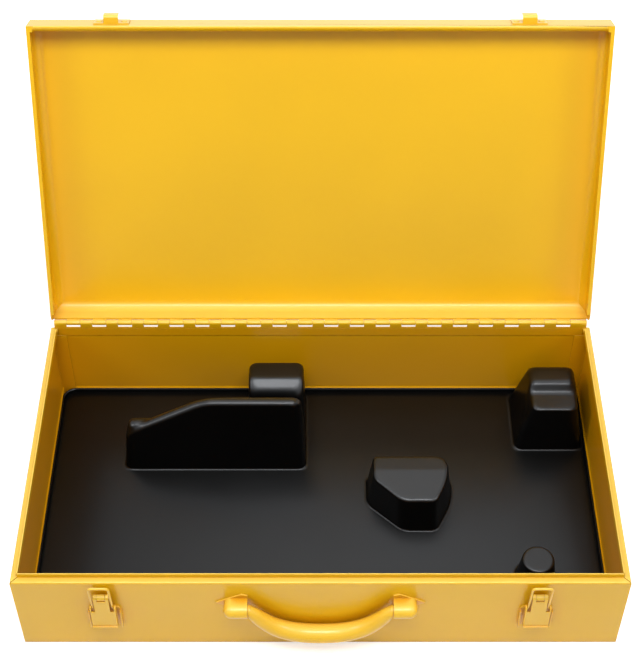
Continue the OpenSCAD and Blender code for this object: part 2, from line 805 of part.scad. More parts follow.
// Many-sided hump: the front narrows to a short edge, and the top's rear right
// corner is cut off; crown_in is how far the crown's line stands in from the foot
module wedge_form(inset) {
    crown_in = 13;
    front_in = 11;
    chamfer = 5;
    left_bend_y = wedge_y + 0.54 * wedge_d;
    right_bend_y = wedge_y + 0.5 * wedge_d;
    front_left_x = wedge_x + 0.48 * wedge_w;
    front_right_x = wedge_x + 0.7 * wedge_w;
    left_x = wedge_x + crown_in;
    right_x = wedge_x + wedge_w;
    rear_y = wedge_y + wedge_d;
    hump_form([[wedge_x + foot_r, rear_y - foot_r],
            [wedge_x + foot_r, left_bend_y],
            [front_left_x, wedge_y + foot_r],
            [front_right_x, wedge_y + foot_r],
            [right_x - foot_r, right_bend_y],
            [right_x - foot_r, rear_y - foot_r]], foot_r,
        raised([[left_x, rear_y - crown_in],
            [left_x, left_bend_y],
            [front_left_x, wedge_y + front_in],
            [front_right_x, wedge_y + front_in],
            [right_x - crown_in, right_bend_y],
            [right_x - crown_in, rear_y - crown_in - chamfer],
            [right_x - crown_in - chamfer, rear_y - crown_in]], wedge_h),
        crown_r, inset);
}

module tray_insert() color(black) translate([0, 0, tray_z]) {
    linear_extrude(tray_t)
        difference() {
            square([tray_w, tray_d], center = true);
            for (x = [0, 1], y = [0, 1])
                mirror([x, 0]) mirror([0, y])
                    translate([-tray_w / 2, -tray_d / 2]) corner_bit(tray_corner_r);
        }
}

module tray_ridge() color(black) difference() {
    ridge_form(0);
    ridge_form(tray_t);
}

module tray_block() color(black) difference() {
    block_form(0);
    block_form(tray_t);
    ridge_form(0);
}

module tray_corner() color(black) difference() {
    corner_form(0);
    corner_form(tray_t);
}

module tray_wedge() color(black) difference() {
    wedge_form(0);
    wedge_form(tray_t);
}

module tray_stud() color(black) translate([stud_x, stud_y, tray_top]) difference() {
    cylinder(r1 = stud_foot_r, r2 = stud_top_r, h = stud_h);
    translate([0, 0, -tray_t])
        cylinder(r1 = stud_foot_r - tray_t, r2 = stud_top_r - tray_t, h = stud_h);
}

base_shell();
tray_insert();
tray_ridge();
tray_block();
tray_corner();
tray_wedge();
tray_stud();
hinge_base_leaf();
hinge_pin();
latch_plate_left();
latch_plate_right();
latch_pin_left();
latch_pin_right();
latch_rivets_left();
latch_rivets_right();
handle_bracket_left();
handle_bracket_right();
handle_grip();
latch_lever_left();
latch_lever_right();
latch_loop_left();
latch_loop_right();
lid_shell();
hinge_lid_leaf();
strike_left();
strike_right();
strike_rivets();
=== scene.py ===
"""Dresses the sheet steel case: painted steel, rolled hinge, fittings and formed tray."""

import json
import math

import bmesh
import bpy
import numpy as np
from bpy.props import FloatProperty, FloatVectorProperty, IntProperty, PointerProperty
from mathutils import Matrix, Vector


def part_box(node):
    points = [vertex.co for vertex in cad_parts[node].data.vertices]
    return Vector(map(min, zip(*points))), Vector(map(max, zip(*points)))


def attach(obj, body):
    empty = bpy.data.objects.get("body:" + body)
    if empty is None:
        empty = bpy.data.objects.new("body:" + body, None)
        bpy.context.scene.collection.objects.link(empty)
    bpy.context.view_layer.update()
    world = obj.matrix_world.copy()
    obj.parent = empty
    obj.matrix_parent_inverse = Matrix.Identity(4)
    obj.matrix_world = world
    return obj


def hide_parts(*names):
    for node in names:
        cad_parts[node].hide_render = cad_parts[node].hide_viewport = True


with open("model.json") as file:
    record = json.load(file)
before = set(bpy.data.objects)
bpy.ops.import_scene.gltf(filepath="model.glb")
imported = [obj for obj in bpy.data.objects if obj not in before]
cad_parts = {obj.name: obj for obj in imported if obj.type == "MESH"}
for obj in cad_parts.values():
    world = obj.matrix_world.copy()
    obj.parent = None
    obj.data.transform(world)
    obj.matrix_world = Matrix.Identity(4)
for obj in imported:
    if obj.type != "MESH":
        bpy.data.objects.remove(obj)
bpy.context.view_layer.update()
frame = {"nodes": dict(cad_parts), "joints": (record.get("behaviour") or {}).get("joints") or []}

bl_info = {
    "name": "Sheet Steel Case",
    "version": (1, 0, 0),
    "blender": (4, 5, 0),
    "location": "3D View > Sidebar > Steel Case",
    "description": "Makes the painted shells, hinge, latches, handle and tray of a steel case",
    "category": "Object",
}

MM = 0.001
# Thickness of the shells' sheet steel
SHEET = 1 * MM
# Top of the tray's floor, in millimetres
TRAY_FLOOR = 3.0
# Edges that turn by more degrees than this are rounded by the paint
PAINT_ANGLE = 35
# Corners of a CAD mesh closer than this are one, and its faces within these degrees one flat
SAME_PLACE = 1e-6
SAME_FLAT = 0.4


# Sizes and colours


class PaintSettings(bpy.types.PropertyGroup):
    """Powder coat on the shells and gloss paint on the fittings."""

    shell_colour: FloatVectorProperty(
        name="Shell Colour", description="Colour of the powder coat on base and lid",
        subtype="COLOR", size=3, min=0, max=1, default=(0.90, 0.51, 0.004))
    fitting_colour: FloatVectorProperty(
        name="Fitting Colour", description="Colour of the paint on hinge, latches and handle",
        subtype="COLOR", size=3, min=0, max=1, default=(0.92, 0.53, 0.004))
    edge_radius: FloatProperty(
        name="Edge Radius", description="Radius that the paint leaves on cut sheet edges",
        subtype="DISTANCE", unit="LENGTH", default=0.3 * MM, min=0.05 * MM, max=0.45 * MM)


class HingeSettings(bpy.types.PropertyGroup):
    """Rolled knuckles of the continuous hinge."""

    pitch: FloatProperty(
        name="Pitch", description="Distance from one lid knuckle to the next",
        subtype="DISTANCE", unit="LENGTH", default=24.8 * MM)
    knuckle_width: FloatProperty(
        name="Knuckle Width", description="Width of a lid knuckle along the pin",
        subtype="DISTANCE", unit="LENGTH", default=12.9 * MM)
    gap: FloatProperty(
        name="Gap", description="Gap between neighbouring knuckles",
        subtype="DISTANCE", unit="LENGTH", default=0.25 * MM)
    shift: FloatProperty(
        name="Shift", description="How far the row of knuckles stands to the right",
        subtype="DISTANCE", unit="LENGTH", default=-2 * MM)
    count: IntProperty(name="Count", description="Number of lid knuckles", default=20, min=1)
    radius: FloatProperty(
        name="Radius", description="Outer radius of the knuckles",
        subtype="DISTANCE", unit="LENGTH", default=2.5 * MM)
    leaf: FloatProperty(
        name="Leaf Thickness", description="Thickness of the hinge's leaves",
        subtype="DISTANCE", unit="LENGTH", default=0.8 * MM)
    seam: FloatProperty(
        name="Seam", description="Angle left open where the sheet rolls back on itself",
        subtype="ANGLE", unit="ROTATION", default=math.radians(16))


class LatchSettings(bpy.types.PropertyGroup):
    """Wire loops and rivets of the latches and strikes."""

    wire_radius: FloatProperty(
        name="Wire Radius", description="Radius of the loop's wire",
        subtype="DISTANCE", unit="LENGTH", default=1.1 * MM)
    loop_width: FloatProperty(
        name="Loop Width", description="Clear width inside the loop",
        subtype="DISTANCE", unit="LENGTH", default=14.2 * MM)
    loop_length: FloatProperty(
        name="Loop Length", description="From the feet to the middle of the bar",
        subtype="DISTANCE", unit="LENGTH", default=35.316 * MM)
    loop_lean: FloatProperty(
        name="Loop Lean", description="Angle that the loop leans out from upright",
        subtype="ANGLE", unit="ROTATION", default=math.radians(7))
    lever_width: FloatProperty(
        name="Lever Width", description="Width of the lever, over its flanges",
        subtype="DISTANCE", unit="LENGTH", default=21.5 * MM)
    rivet_radius: FloatProperty(
        name="Rivet Radius", description="Radius of the rivets' heads",
        subtype="DISTANCE", unit="LENGTH", default=2.8 * MM)
    rivet_height: FloatProperty(
        name="Rivet Height", description="Height of the rivets' heads",
        subtype="DISTANCE", unit="LENGTH", default=1 * MM)


class GripSettings(bpy.types.PropertyGroup):
    """Fold-down bow grip."""

    drop: FloatProperty(
        name="Drop", description="From the pins' axis down to the middle of the grip",
        subtype="DISTANCE", unit="LENGTH", default=36.5 * MM)
    length: FloatProperty(
        name="Length", description="Length of the grip between its brackets",
        subtype="DISTANCE", unit="LENGTH", default=122.6 * MM)
    middle_radius: FloatProperty(
        name="Middle Radius", description="Radius of the grip in the middle",
        subtype="DISTANCE", unit="LENGTH", default=8.5 * MM)
    end_radius: FloatProperty(
        name="End Radius", description="Radius of the grip at its ends",
        subtype="DISTANCE", unit="LENGTH", default=5.4 * MM)
    pin_radius: FloatProperty(
        name="Pin Radius", description="Radius of the pins in the brackets",
        subtype="DISTANCE", unit="LENGTH", default=4.4 * MM)
    pin_length: FloatProperty(
        name="Pin Length", description="Length of the pins in the brackets",
        subtype="DISTANCE", unit="LENGTH", default=12 * MM)


class TraySettings(bpy.types.PropertyGroup):
    """Formed plastic tray."""

    colour: FloatVectorProperty(
        name="Colour", description="Colour of the tray's plastic",
        subtype="COLOR", size=3, min=0, max=1, default=(0.002, 0.0019, 0.0018))
    foot_fillet: FloatProperty(
        name="Foot Fillet", description="Reach of the fillet between a hump and the floor",
        subtype="DISTANCE", unit="LENGTH", default=2.2 * MM)
    upright: FloatProperty(
        name="Upright", description="Reach of the rounding along the humps' upright edges",
        subtype="DISTANCE", unit="LENGTH", default=8 * MM)
    crown: FloatProperty(
        name="Crown", description="Reach of the rounding along the humps' upper edges",
        subtype="DISTANCE", unit="LENGTH", default=5 * MM)
    corner_radius: FloatProperty(
        name="Corner Radius", description="Radius of the tray's corners",
        subtype="DISTANCE", unit="LENGTH", default=12 * MM)
    edge_rise: FloatProperty(
        name="Edge Rise", description="How far the tray's edge is turned up along the walls",
        subtype="DISTANCE", unit="LENGTH", default=4.6 * MM)


class StageSettings(bpy.types.PropertyGroup):
    """Camera and studio."""

    lens: FloatProperty(
        name="Lens", description="Focal length of the camera in millimetres",
        subtype="DISTANCE_CAMERA", default=83.3)
    camera_place: FloatVectorProperty(
        name="Camera Place", description="Where the camera stands",
        subtype="TRANSLATION", unit="LENGTH", size=3, default=(-0.0004, -0.841, 1.169))
    camera_tilt: FloatProperty(
        name="Camera Tilt", description="Angle of the view below the horizon",
        subtype="ANGLE", unit="ROTATION", default=math.radians(47.41))
    top_power: FloatProperty(
        name="Top Power", description="Power of the large light over the case",
        subtype="POWER", unit="POWER", default=3.2)
    side_power: FloatProperty(
        name="Side Power", description="Power of each light beside the case",
        subtype="POWER", unit="POWER", default=4.4)
    front_power: FloatProperty(
        name="Front Power", description="Power of the light over the camera",
        subtype="POWER", unit="POWER", default=19.4)
    back_power: FloatProperty(
        name="Back Power", description="Power of the light behind the case",
        subtype="POWER", unit="POWER", default=6.0)
    world_strength: FloatProperty(
        name="World Strength", description="Strength of the even light from all round",
        default=0.165, min=0, max=2)


class CaseSettings(bpy.types.PropertyGroup):
    """All settings of the case."""

    paint: PointerProperty(type=PaintSettings)
    hinge: PointerProperty(type=HingeSettings)
    latch: PointerProperty(type=LatchSettings)
    grip: PointerProperty(type=GripSettings)
    tray: PointerProperty(type=TraySettings)
    stage: PointerProperty(type=StageSettings)


# Materials


def feed(tree, node, inputs):
    """Sets or links a node's inputs, by name or index."""
    for name, value in inputs.items():
        socket = node.inputs[name]
        if isinstance(value, bpy.types.NodeSocket):
            tree.links.new(value, socket)
        else:
            socket.default_value = value


def shader_node(tree, kind, inputs=None, **attributes):
    """Adds a node with its attributes and its inputs."""
    node = tree.nodes.new(kind)
    for name, value in attributes.items():
        setattr(node, name, value)
    feed(tree, node, inputs or {})
    return node


def computed(tree, operation, *values, clamp=False):
    """Result of a Math node."""
    return shader_node(tree, "ShaderNodeMath", dict(enumerate(values)),
        operation=operation, use_clamp=clamp).outputs[0]


def ranged(tree, value, start, end, low=0.0, high=1.0):
    """Value that goes from low to high while another goes from start to end."""
    return shader_node(tree, "ShaderNodeMapRange", {
        "Value": value, "From Min": start, "From Max": end, "To Min": low,
        "To Max": high}).outputs["Result"]


def mixed(tree, share, a, b):
    """Colour between two colours."""
    return shader_node(tree, "ShaderNodeMix", {"Factor": share, "A": a, "B": b},
        data_type="RGBA").outputs["Result"]


def upright_part(tree, vector):
    """Z of a vector."""
    return shader_node(tree, "ShaderNodeSeparateXYZ", {0: vector}).outputs["Z"]


def noise(tree, place, scale, detail, roughness=0.5):
    """Noise that is fixed to the piece."""
    return shader_node(tree, "ShaderNodeTexNoise", {
        "Vector": place.outputs["Object"], "Scale": scale, "Detail": detail,
        "Roughness": roughness}).outputs["Fac"]


def toned(colour, *shares):
    """Opaque colour times one share, or times one share for each channel."""
    return [min(1.0, c * shares[i % len(shares)]) for i, c in enumerate(colour)] + [1.0]


def node_group(name, kind, inputs, outputs):
    """New node group with its sockets and its input and output nodes."""
    tree = bpy.data.node_groups.new(name, kind)
    for label, socket, default in inputs:
        made = tree.interface.new_socket(name=label, in_out="INPUT", socket_type=socket)
        if default is not None:
            made.default_value = default
    for label, socket in outputs:
        tree.interface.new_socket(name=label, in_out="OUTPUT", socket_type=socket)
    return tree, tree.nodes.new("NodeGroupInput"), tree.nodes.new("NodeGroupOutput")


def rolled_sheet_group():
    """Group: faint waviness that thin sheet keeps after folding, as a normal and a tone mask."""
    tree, given, result = node_group(
        "Sheet Waviness", "ShaderNodeTree",
        [("Wave Size", "NodeSocketFloat", 9.0), ("Wave Depth", "NodeSocketFloat", 0.05),
            ("Peel Size", "NodeSocketFloat", 1400.0), ("Peel Depth", "NodeSocketFloat", 0.05)],
        [("Normal", "NodeSocketVector"), ("Tone", "NodeSocketFloat")])
    place = shader_node(tree, "ShaderNodeTexCoord")
    wave = noise(tree, place, given.outputs["Wave Size"], 1.0)
    peel = noise(tree, place, given.outputs["Peel Size"], 2.0, 0.45)
    wavy = shader_node(tree, "ShaderNodeBump", {
        "Strength": given.outputs["Wave Depth"], "Distance": 20 * MM, "Height": wave})
    peeled = shader_node(tree, "ShaderNodeBump", {
        "Strength": given.outputs["Peel Depth"], "Distance": 0.4 * MM, "Height": peel,
        "Normal": wavy.outputs["Normal"]})
    feed(tree, result, {"Normal": peeled.outputs["Normal"], "Tone": wave})


def hollow_group():
    """Group: painted sheen on upward faces, painted shade in creases and inside the base."""
    tree, given, result = node_group(
        "Hollow Shade", "ShaderNodeTree",
        [("Colour", "NodeSocketColor", (1, 1, 1, 1)),
            # Colour and strength of the painted sheen on upward faces
            ("Painted Sheen Colour", "NodeSocketColor", (0.98, 0.655, 0.095, 1)),
            ("Painted Sheen Amount", "NodeSocketFloat", 1.0),
            # Painted shade inside the base: the top it stays below, its reach, colour and
            # strength, and a switch that lays it on all below the top
            ("Hollow Top", "NodeSocketFloat", 0.088),
            ("Hollow Reach", "NodeSocketFloat", 0.15),
            ("Hollow Colour", "NodeSocketColor", (0.9, 0.4, 0.01, 1)),
            ("Hollow Amount", "NodeSocketFloat", 6.0),
            ("Inside", "NodeSocketFloat", 0.0),
            # Painted shade in creases and gaps between parts: its reach, colour and strength
            ("Crease Reach", "NodeSocketFloat", 0.011),
            ("Crease Colour", "NodeSocketColor", (0.5, 0.3, 0.1, 1)),
            ("Crease Amount", "NodeSocketFloat", 0.65)],
        [("Colour", "NodeSocketColor")])
    place = shader_node(tree, "ShaderNodeTexCoord")
    # Painted sheen: faces that look up are mixed towards a paler colour, standing in for light
    # from above
    # The Z of a face's normal where it starts to count as upward, and where it wholly does
    leaning, level = 0.45, 0.95
    upward = ranged(tree, upright_part(tree, place.outputs["Normal"]), leaning, level, 0.0,
        given.outputs["Painted Sheen Amount"])
    # The painted shade of the hollow fades out over this height below its top
    fade = 8 * MM
    top = given.outputs["Hollow Top"]
    low = ranged(tree, upright_part(tree, place.outputs["Object"]),
        computed(tree, "SUBTRACT", top, fade), top, 1.0, 0.0)
    colour = mixed(tree, upward, given.outputs["Colour"], given.outputs["Painted Sheen Colour"])
    for label, local, always, share in (
            # Painted shade inside the base: warmer and darker where the base's own walls close
            # in, standing in for dim light between the walls
            ("Hollow", True, given.outputs["Inside"], low),
            # Painted shade, darker where any surface is near: in creases, gaps and under fittings
            ("Crease", False, 0.0, 1.0)):
        open_sky = shader_node(tree, "ShaderNodeAmbientOcclusion", {
            "Distance": given.outputs[label + " Reach"]}, samples=8, only_local=local)
        closed = computed(tree, "SUBTRACT", 1.0, open_sky.outputs["AO"])
        amount = computed(tree, "MULTIPLY_ADD", closed, given.outputs[label + " Amount"],
            always, clamp=True)
        colour = mixed(tree, computed(tree, "MULTIPLY", amount, share), colour,
            given.outputs[label + " Colour"])
    feed(tree, result, {"Colour": colour})


def placed_group(tree, name, inputs):
    """A node group in a material, with that material's own values."""
    return shader_node(tree, "ShaderNodeGroup", inputs, node_tree=bpy.data.node_groups[name])


def new_material(name):
    """New material, its tree and its shader."""
    material = bpy.data.materials.new(name)
    material.use_nodes = True
    return material, material.node_tree, material.node_tree.nodes["Principled BSDF"]


def painted_steel(name, colour, roughness, wave, peel, specular, coat, painted_shade_top=None):
    """Paint on steel: slight tone change, orange peel, painted shade in creases and inside the
    base.

    A painted sheen lies on upward faces. A fitting that lies inside the base has the painted
    shade of the base's inside up to the height painted_shade_top.
    """
    tree, shader = new_material(name)[1:]
    surface = placed_group(tree, "Sheet Waviness", {"Wave Depth": wave, "Peel Depth": peel})
    tone = mixed(tree, surface.outputs["Tone"], toned(colour, 0.93), toned(colour, 1.04))
    # Painted shade in creases (crease colour) and inside the base (hollow colour), and painted
    # sheen on upward faces
    shade_and_sheen = placed_group(tree, "Hollow Shade", {
        "Colour": tone, "Crease Colour": toned(colour, 0.45, 0.35, 0.1),
        "Hollow Colour": toned(colour, 0.90, 0.745, 0.5)})
    if painted_shade_top is not None:
        feed(tree, shade_and_sheen, {"Inside": 1.0, "Hollow Top": painted_shade_top})
    feed(tree, shader, {
        "Base Color": shade_and_sheen.outputs["Colour"], "Normal": surface.outputs["Normal"],
        "Roughness": roughness, "Specular IOR Level": specular, "Coat Weight": coat,
        "Coat Roughness": 0.12})


def formed_plastic(name, colour):
    """Satin black sheet with a fine grain, glossier where it is drawn up into humps."""
    tree, shader = new_material(name)[1:]
    place = shader_node(tree, "ShaderNodeTexCoord")
    grain = noise(tree, place, 1800.0, 3.0, 0.6)
    cloud = noise(tree, place, 14.0, 3.0)
    bump = shader_node(tree, "ShaderNodeBump", {
        "Strength": 0.12, "Distance": 0.3 * MM, "Height": grain})
    # Upright faces reflect a fifth as much as level ones
    level = ranged(tree, upright_part(tree, place.outputs["Normal"]), 0.2, 0.75, 0.2)
    # The gloss grows from the floor up to this height
    drawn_height = 40 * MM
    drawn = ranged(tree, upright_part(tree, place.outputs["Object"]),
        (TRAY_FLOOR + 0.5) * MM, drawn_height, 0.37, 0.55)
    feed(tree, shader, {
        "Base Color": mixed(tree, cloud, toned(colour, 0.8), toned(colour, 1.25)),
        "Roughness": ranged(tree, cloud, 0.0, 1.0, 0.28, 0.38),
        "Specular IOR Level": computed(tree, "MULTIPLY", level, drawn),
        "Specular Tint": (0.93, 0.96, 1.0, 1), "Normal": bump.outputs["Normal"]})


def white_rays(tree):
    """Mask of the rays that see the background itself: camera, glossy and transmission."""
    path = shader_node(tree, "ShaderNodeLightPath")
    straight = computed(tree, "MAXIMUM", path.outputs["Is Camera Ray"],
        path.outputs["Is Transmission Ray"])
    return computed(tree, "MAXIMUM", straight, path.outputs["Is Glossy Ray"])


# Pieces from the frame


def finish_piece(obj, body, finish, *nodes):
    """Gives a piece its material and body, and hides the CAD nodes that it stands for."""
    obj.data.materials.clear()
    obj.data.materials.append(bpy.data.materials[finish])
    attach(obj, body)
    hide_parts(*nodes)


def linked(name, mesh):
    """New object in the scene for a mesh."""
    obj = bpy.data.objects.new(name, mesh)
    bpy.context.scene.collection.objects.link(obj)
    return obj


def from_form(name, form):
    """New object in the scene for a bmesh, which is freed."""
    mesh = bpy.data.meshes.new(name)
    form.to_mesh(mesh)
    form.free()
    return linked(name, mesh)


def baked(obj):
    """The object with its modifiers applied."""
    depsgraph = bpy.context.evaluated_depsgraph_get()
    mesh = bpy.data.meshes.new_from_object(obj.evaluated_get(depsgraph), depsgraph=depsgraph)
    obj.modifiers.clear()
    old = obj.data
    obj.data = mesh
    bpy.data.meshes.remove(old)
    return obj


def softened(name, node, radius, segments=2, reshape=None):
    """Copy of a CAD node with its doubles merged, flats joined and its edges rounded by paint."""
    mesh = frame["nodes"][node].data.copy()
    form = bmesh.new()
    form.from_mesh(mesh)
    bmesh.ops.remove_doubles(form, verts=form.verts, dist=SAME_PLACE)
    bmesh.ops.dissolve_limit(
        form, angle_limit=math.radians(SAME_FLAT), verts=form.verts, edges=form.edges)
    if reshape:
        reshape(form)
    form.to_mesh(mesh)
    form.free()
    return rounded(linked(name, mesh), radius, segments)


def rounded(obj, radius, segments=2):
    """Rounds an object's edges, and keeps its flats flat in the shading."""
    obj.data.shade_smooth()
    bevel = obj.modifiers.new("Paint Edge", "BEVEL")
    bevel.width = radius
    bevel.segments = segments
    bevel.limit_method = "ANGLE"
    bevel.angle_limit = math.radians(PAINT_ANGLE)
    even = obj.modifiers.new("Flat Faces", "WEIGHTED_NORMAL")
    even.mode = "FACE_AREA"
    even.weight = 80
    return baked(obj)


def shade(obj, angle):
    """Smooth shading that keeps edges sharper than the angle."""
    mesh = obj.data
    mesh.shade_smooth()
    mesh.set_sharp_from_angle(angle=math.radians(angle))


def geometry_tree(name, inputs):
    """New Geometry Nodes tree that ends in Realize Instances and Set Material."""
    tree, given, result = node_group(
        name, "GeometryNodeTree", inputs + [("Material", "NodeSocketMaterial", None)],
        [("Geometry", "NodeSocketGeometry")])
    realize = tree.nodes.new("GeometryNodeRealizeInstances")
    paint = shader_node(tree, "GeometryNodeSetMaterial", {
        "Geometry": realize.outputs[0], "Material": given.outputs["Material"]})
    feed(tree, result, {"Geometry": paint.outputs[0]})
    return tree, given, realize.inputs[0]


def grown(name, tree, values):
    """Object whose mesh a Geometry Nodes tree makes from the values, in gloss paint."""
    values = dict(values, Material=bpy.data.materials["Gloss Paint"])
    obj = linked(name, bpy.data.meshes.new(name))
    modifier = obj.modifiers.new(tree.name, "NODES")
    modifier.node_group = tree
    for item in tree.interface.items_tree:
        if item.item_type == "SOCKET" and item.in_out == "INPUT" and item.name in values:
            modifier[item.identifier] = values[item.name]
    return baked(obj)


def joined(name, objects):
    """One object from several."""
    form = bmesh.new()
    for obj in objects:
        old = obj.data
        form.from_mesh(old)
        bpy.data.objects.remove(obj)
        bpy.data.meshes.remove(old)
    return from_form(name, form)


def lofted(form, rings):
    """Faces between closed rings of vertices that follow one another."""
    made = []
    for low, high in zip(rings, rings[1:]):
        for i in range(len(low)):
            j = (i + 1) % len(low)
            made.append(form.faces.new((low[i], low[j], high[j], high[i])))
    return made


# Hinge


def knuckle_tree():
    """Tree: a row of knuckles, each a strip of sheet rolled round the pin."""
    tree, given, out = geometry_tree("Rolled Knuckles", [
        ("Count", "NodeSocketInt", 1), ("Start", "NodeSocketVector", None),
        ("Pitch", "NodeSocketFloat", 0.025), ("Width", "NodeSocketFloat", 0.012),
        ("Radius", "NodeSocketFloat", 0.0025), ("Wall", "NodeSocketFloat", 0.0008),
        ("Start Angle", "NodeSocketFloat", 0.0), ("Sweep", "NodeSocketFloat", 6.0)])
    step = shader_node(tree, "ShaderNodeCombineXYZ", {"X": given.outputs["Pitch"]})
    row = shader_node(tree, "GeometryNodeMeshLine", {
        "Count": given.outputs["Count"], "Start Location": given.outputs["Start"],
        "Offset": step.outputs[0]})
    middle = computed(tree, "MULTIPLY_ADD", given.outputs["Wall"], -0.5, given.outputs["Radius"])
    roll = shader_node(tree, "GeometryNodeCurveArc", {
        "Resolution": 32, "Radius": middle, "Start Angle": given.outputs["Start Angle"],
        "Sweep Angle": given.outputs["Sweep"]})
    strip = shader_node(tree, "GeometryNodeCurvePrimitiveQuadrilateral", {
        "Width": given.outputs["Wall"], "Height": given.outputs["Width"]})
    soft = shader_node(tree, "GeometryNodeFilletCurve", {
        "Curve": strip.outputs[0], "Radius": 0.16 * MM, "Count": 2}, mode="POLY")
    sweep = shader_node(tree, "GeometryNodeCurveToMesh", {
        "Curve": roll.outputs[0], "Profile Curve": soft.outputs[0], "Fill Caps": True})
    turned = shader_node(tree, "GeometryNodeTransform", {
        "Geometry": sweep.outputs[0], "Rotation": (math.pi / 2, 0, math.pi / 2)})
    placed = shader_node(tree, "GeometryNodeInstanceOnPoints", {
        "Points": row.outputs[0], "Instance": turned.outputs[0]})
    tree.links.new(placed.outputs[0], out)
    return tree


def comb(name, spans, low, high, root, side, y, thickness, edge=0.1 * MM):
    """Flat leaf between two levels, whose outer edge is cut into a comb of knuckle roots."""
    outline = [(side[0], low), (side[1], low), (side[1], root)]
    for start, end in reversed(spans):
        outline += [(end, root), (end, high), (start, high), (start, root)]
    outline.append((side[0], root))
    form = bmesh.new()
    ring = []
    touching = 1e-7
    for x, z in outline:
        if not ring or (ring[-1].co - Vector((x, y, z))).length > touching:
            ring.append(form.verts.new((x, y, z)))
    if (ring[0].co - ring[-1].co).length < touching:
        form.verts.remove(ring.pop())
    face = form.faces.new(ring)
    pushed = bmesh.ops.extrude_face_region(form, geom=[face])
    moved = [v for v in pushed["geom"] if isinstance(v, bmesh.types.BMVert)]
    bmesh.ops.translate(form, verts=moved, vec=(0, thickness, 0))
    bmesh.ops.recalc_face_normals(form, faces=form.faces)
    return rounded(from_form(name, form), edge)


# Rivets and wire


def rivet_tree():
    """Tree: pairs of domed rivet heads along a line, one on each face of the sheet."""
    tree, given, out = geometry_tree("Domed Rivets", [
        ("Start", "NodeSocketVector", None), ("Step", "NodeSocketVector", None),
        ("Through", "NodeSocketVector", None), ("Radius", "NodeSocketFloat", 0.0028),
        ("Height", "NodeSocketFloat", 0.001)])
    row = shader_node(tree, "GeometryNodeMeshLine", {
        "Count": 2, "Start Location": given.outputs["Start"], "Offset": given.outputs["Step"]})
    back = shader_node(tree, "GeometryNodeTransform", {
        "Geometry": row.outputs[0], "Translation": given.outputs["Through"]})
    both = tree.nodes.new("GeometryNodeJoinGeometry")
    tree.links.new(row.outputs[0], both.inputs[0])
    tree.links.new(back.outputs[0], both.inputs[0])
    ball = shader_node(tree, "GeometryNodeMeshUVSphere", {
        "Segments": 28, "Rings": 14, "Radius": given.outputs["Radius"]})
    flat = computed(tree, "DIVIDE", given.outputs["Height"], given.outputs["Radius"])
    scale = shader_node(tree, "ShaderNodeCombineXYZ", {"X": 1.0, "Y": 1.0, "Z": flat})
    dome = shader_node(tree, "GeometryNodeTransform", {
        "Geometry": ball.outputs[0], "Scale": scale.outputs[0]})
    upright = shader_node(tree, "GeometryNodeTransform", {
        "Geometry": dome.outputs[0], "Rotation": (math.pi / 2, 0, 0)})
    placed = shader_node(tree, "GeometryNodeInstanceOnPoints", {
        "Points": both.outputs[0], "Instance": upright.outputs[0]})
    smooth = shader_node(tree, "GeometryNodeSetShadeSmooth", {"Geometry": placed.outputs[0]})
    tree.links.new(smooth.outputs[0], out)
    return tree


def wire_tree():
    """Tree: the latch's bent wire, from one foot over the bar to the other foot."""
    tree, given, out = geometry_tree("Wire Loop", [
        ("Arm", "NodeSocketFloat", 0.008), ("Foot", "NodeSocketFloat", 0.011),
        ("Length", "NodeSocketFloat", 0.035), ("Bend", "NodeSocketFloat", 0.0026),
        ("Wire Radius", "NodeSocketFloat", 0.0011)])

    def point(side, reach, z=0.0):
        x = computed(tree, "MULTIPLY", given.outputs[reach], side)
        return shader_node(tree, "ShaderNodeCombineXYZ", {"X": x, "Z": z}).outputs[0]

    length = given.outputs["Length"]
    corners = [point(-1.0, "Foot"), point(-1.0, "Arm"), point(-1.0, "Arm", length),
        point(1.0, "Arm", length), point(1.0, "Arm"), point(1.0, "Foot")]
    index = tree.nodes.new("GeometryNodeInputIndex")
    pick = tree.nodes.new("GeometryNodeIndexSwitch")
    pick.data_type = "VECTOR"
    while len(pick.index_switch_items) < len(corners):
        pick.index_switch_items.new()
    tree.links.new(index.outputs[0], pick.inputs[0])
    for number, corner in enumerate(corners):
        tree.links.new(corner, pick.inputs[number + 1])
    line = shader_node(tree, "GeometryNodeMeshLine", {"Count": len(corners)})
    path = shader_node(tree, "GeometryNodeMeshToCurve", {"Mesh": line.outputs[0]})
    bent = shader_node(tree, "GeometryNodeSetPosition", {
        "Geometry": path.outputs[0], "Position": pick.outputs[0]})
    round_path = shader_node(tree, "GeometryNodeFilletCurve", {
        "Curve": bent.outputs[0], "Radius": given.outputs["Bend"], "Limit Radius": True,
        "Count": 8}, mode="POLY")
    wire = shader_node(tree, "GeometryNodeCurvePrimitiveCircle", {
        "Resolution": 16, "Radius": given.outputs["Wire Radius"]})
    sweep = shader_node(tree, "GeometryNodeCurveToMesh", {
        "Curve": round_path.outputs[0], "Profile Curve": wire.outputs[0], "Fill Caps": True})
    tree.links.new(sweep.outputs[0], out)
    return tree


# Grip


def between(a, b, c, d, t):
    """Cubic curve through a and d, steered by b and c."""
    return a * (1 - t) ** 3 + 3 * b * t * (1 - t) ** 2 + 3 * c * t * t * (1 - t) + d * t ** 3


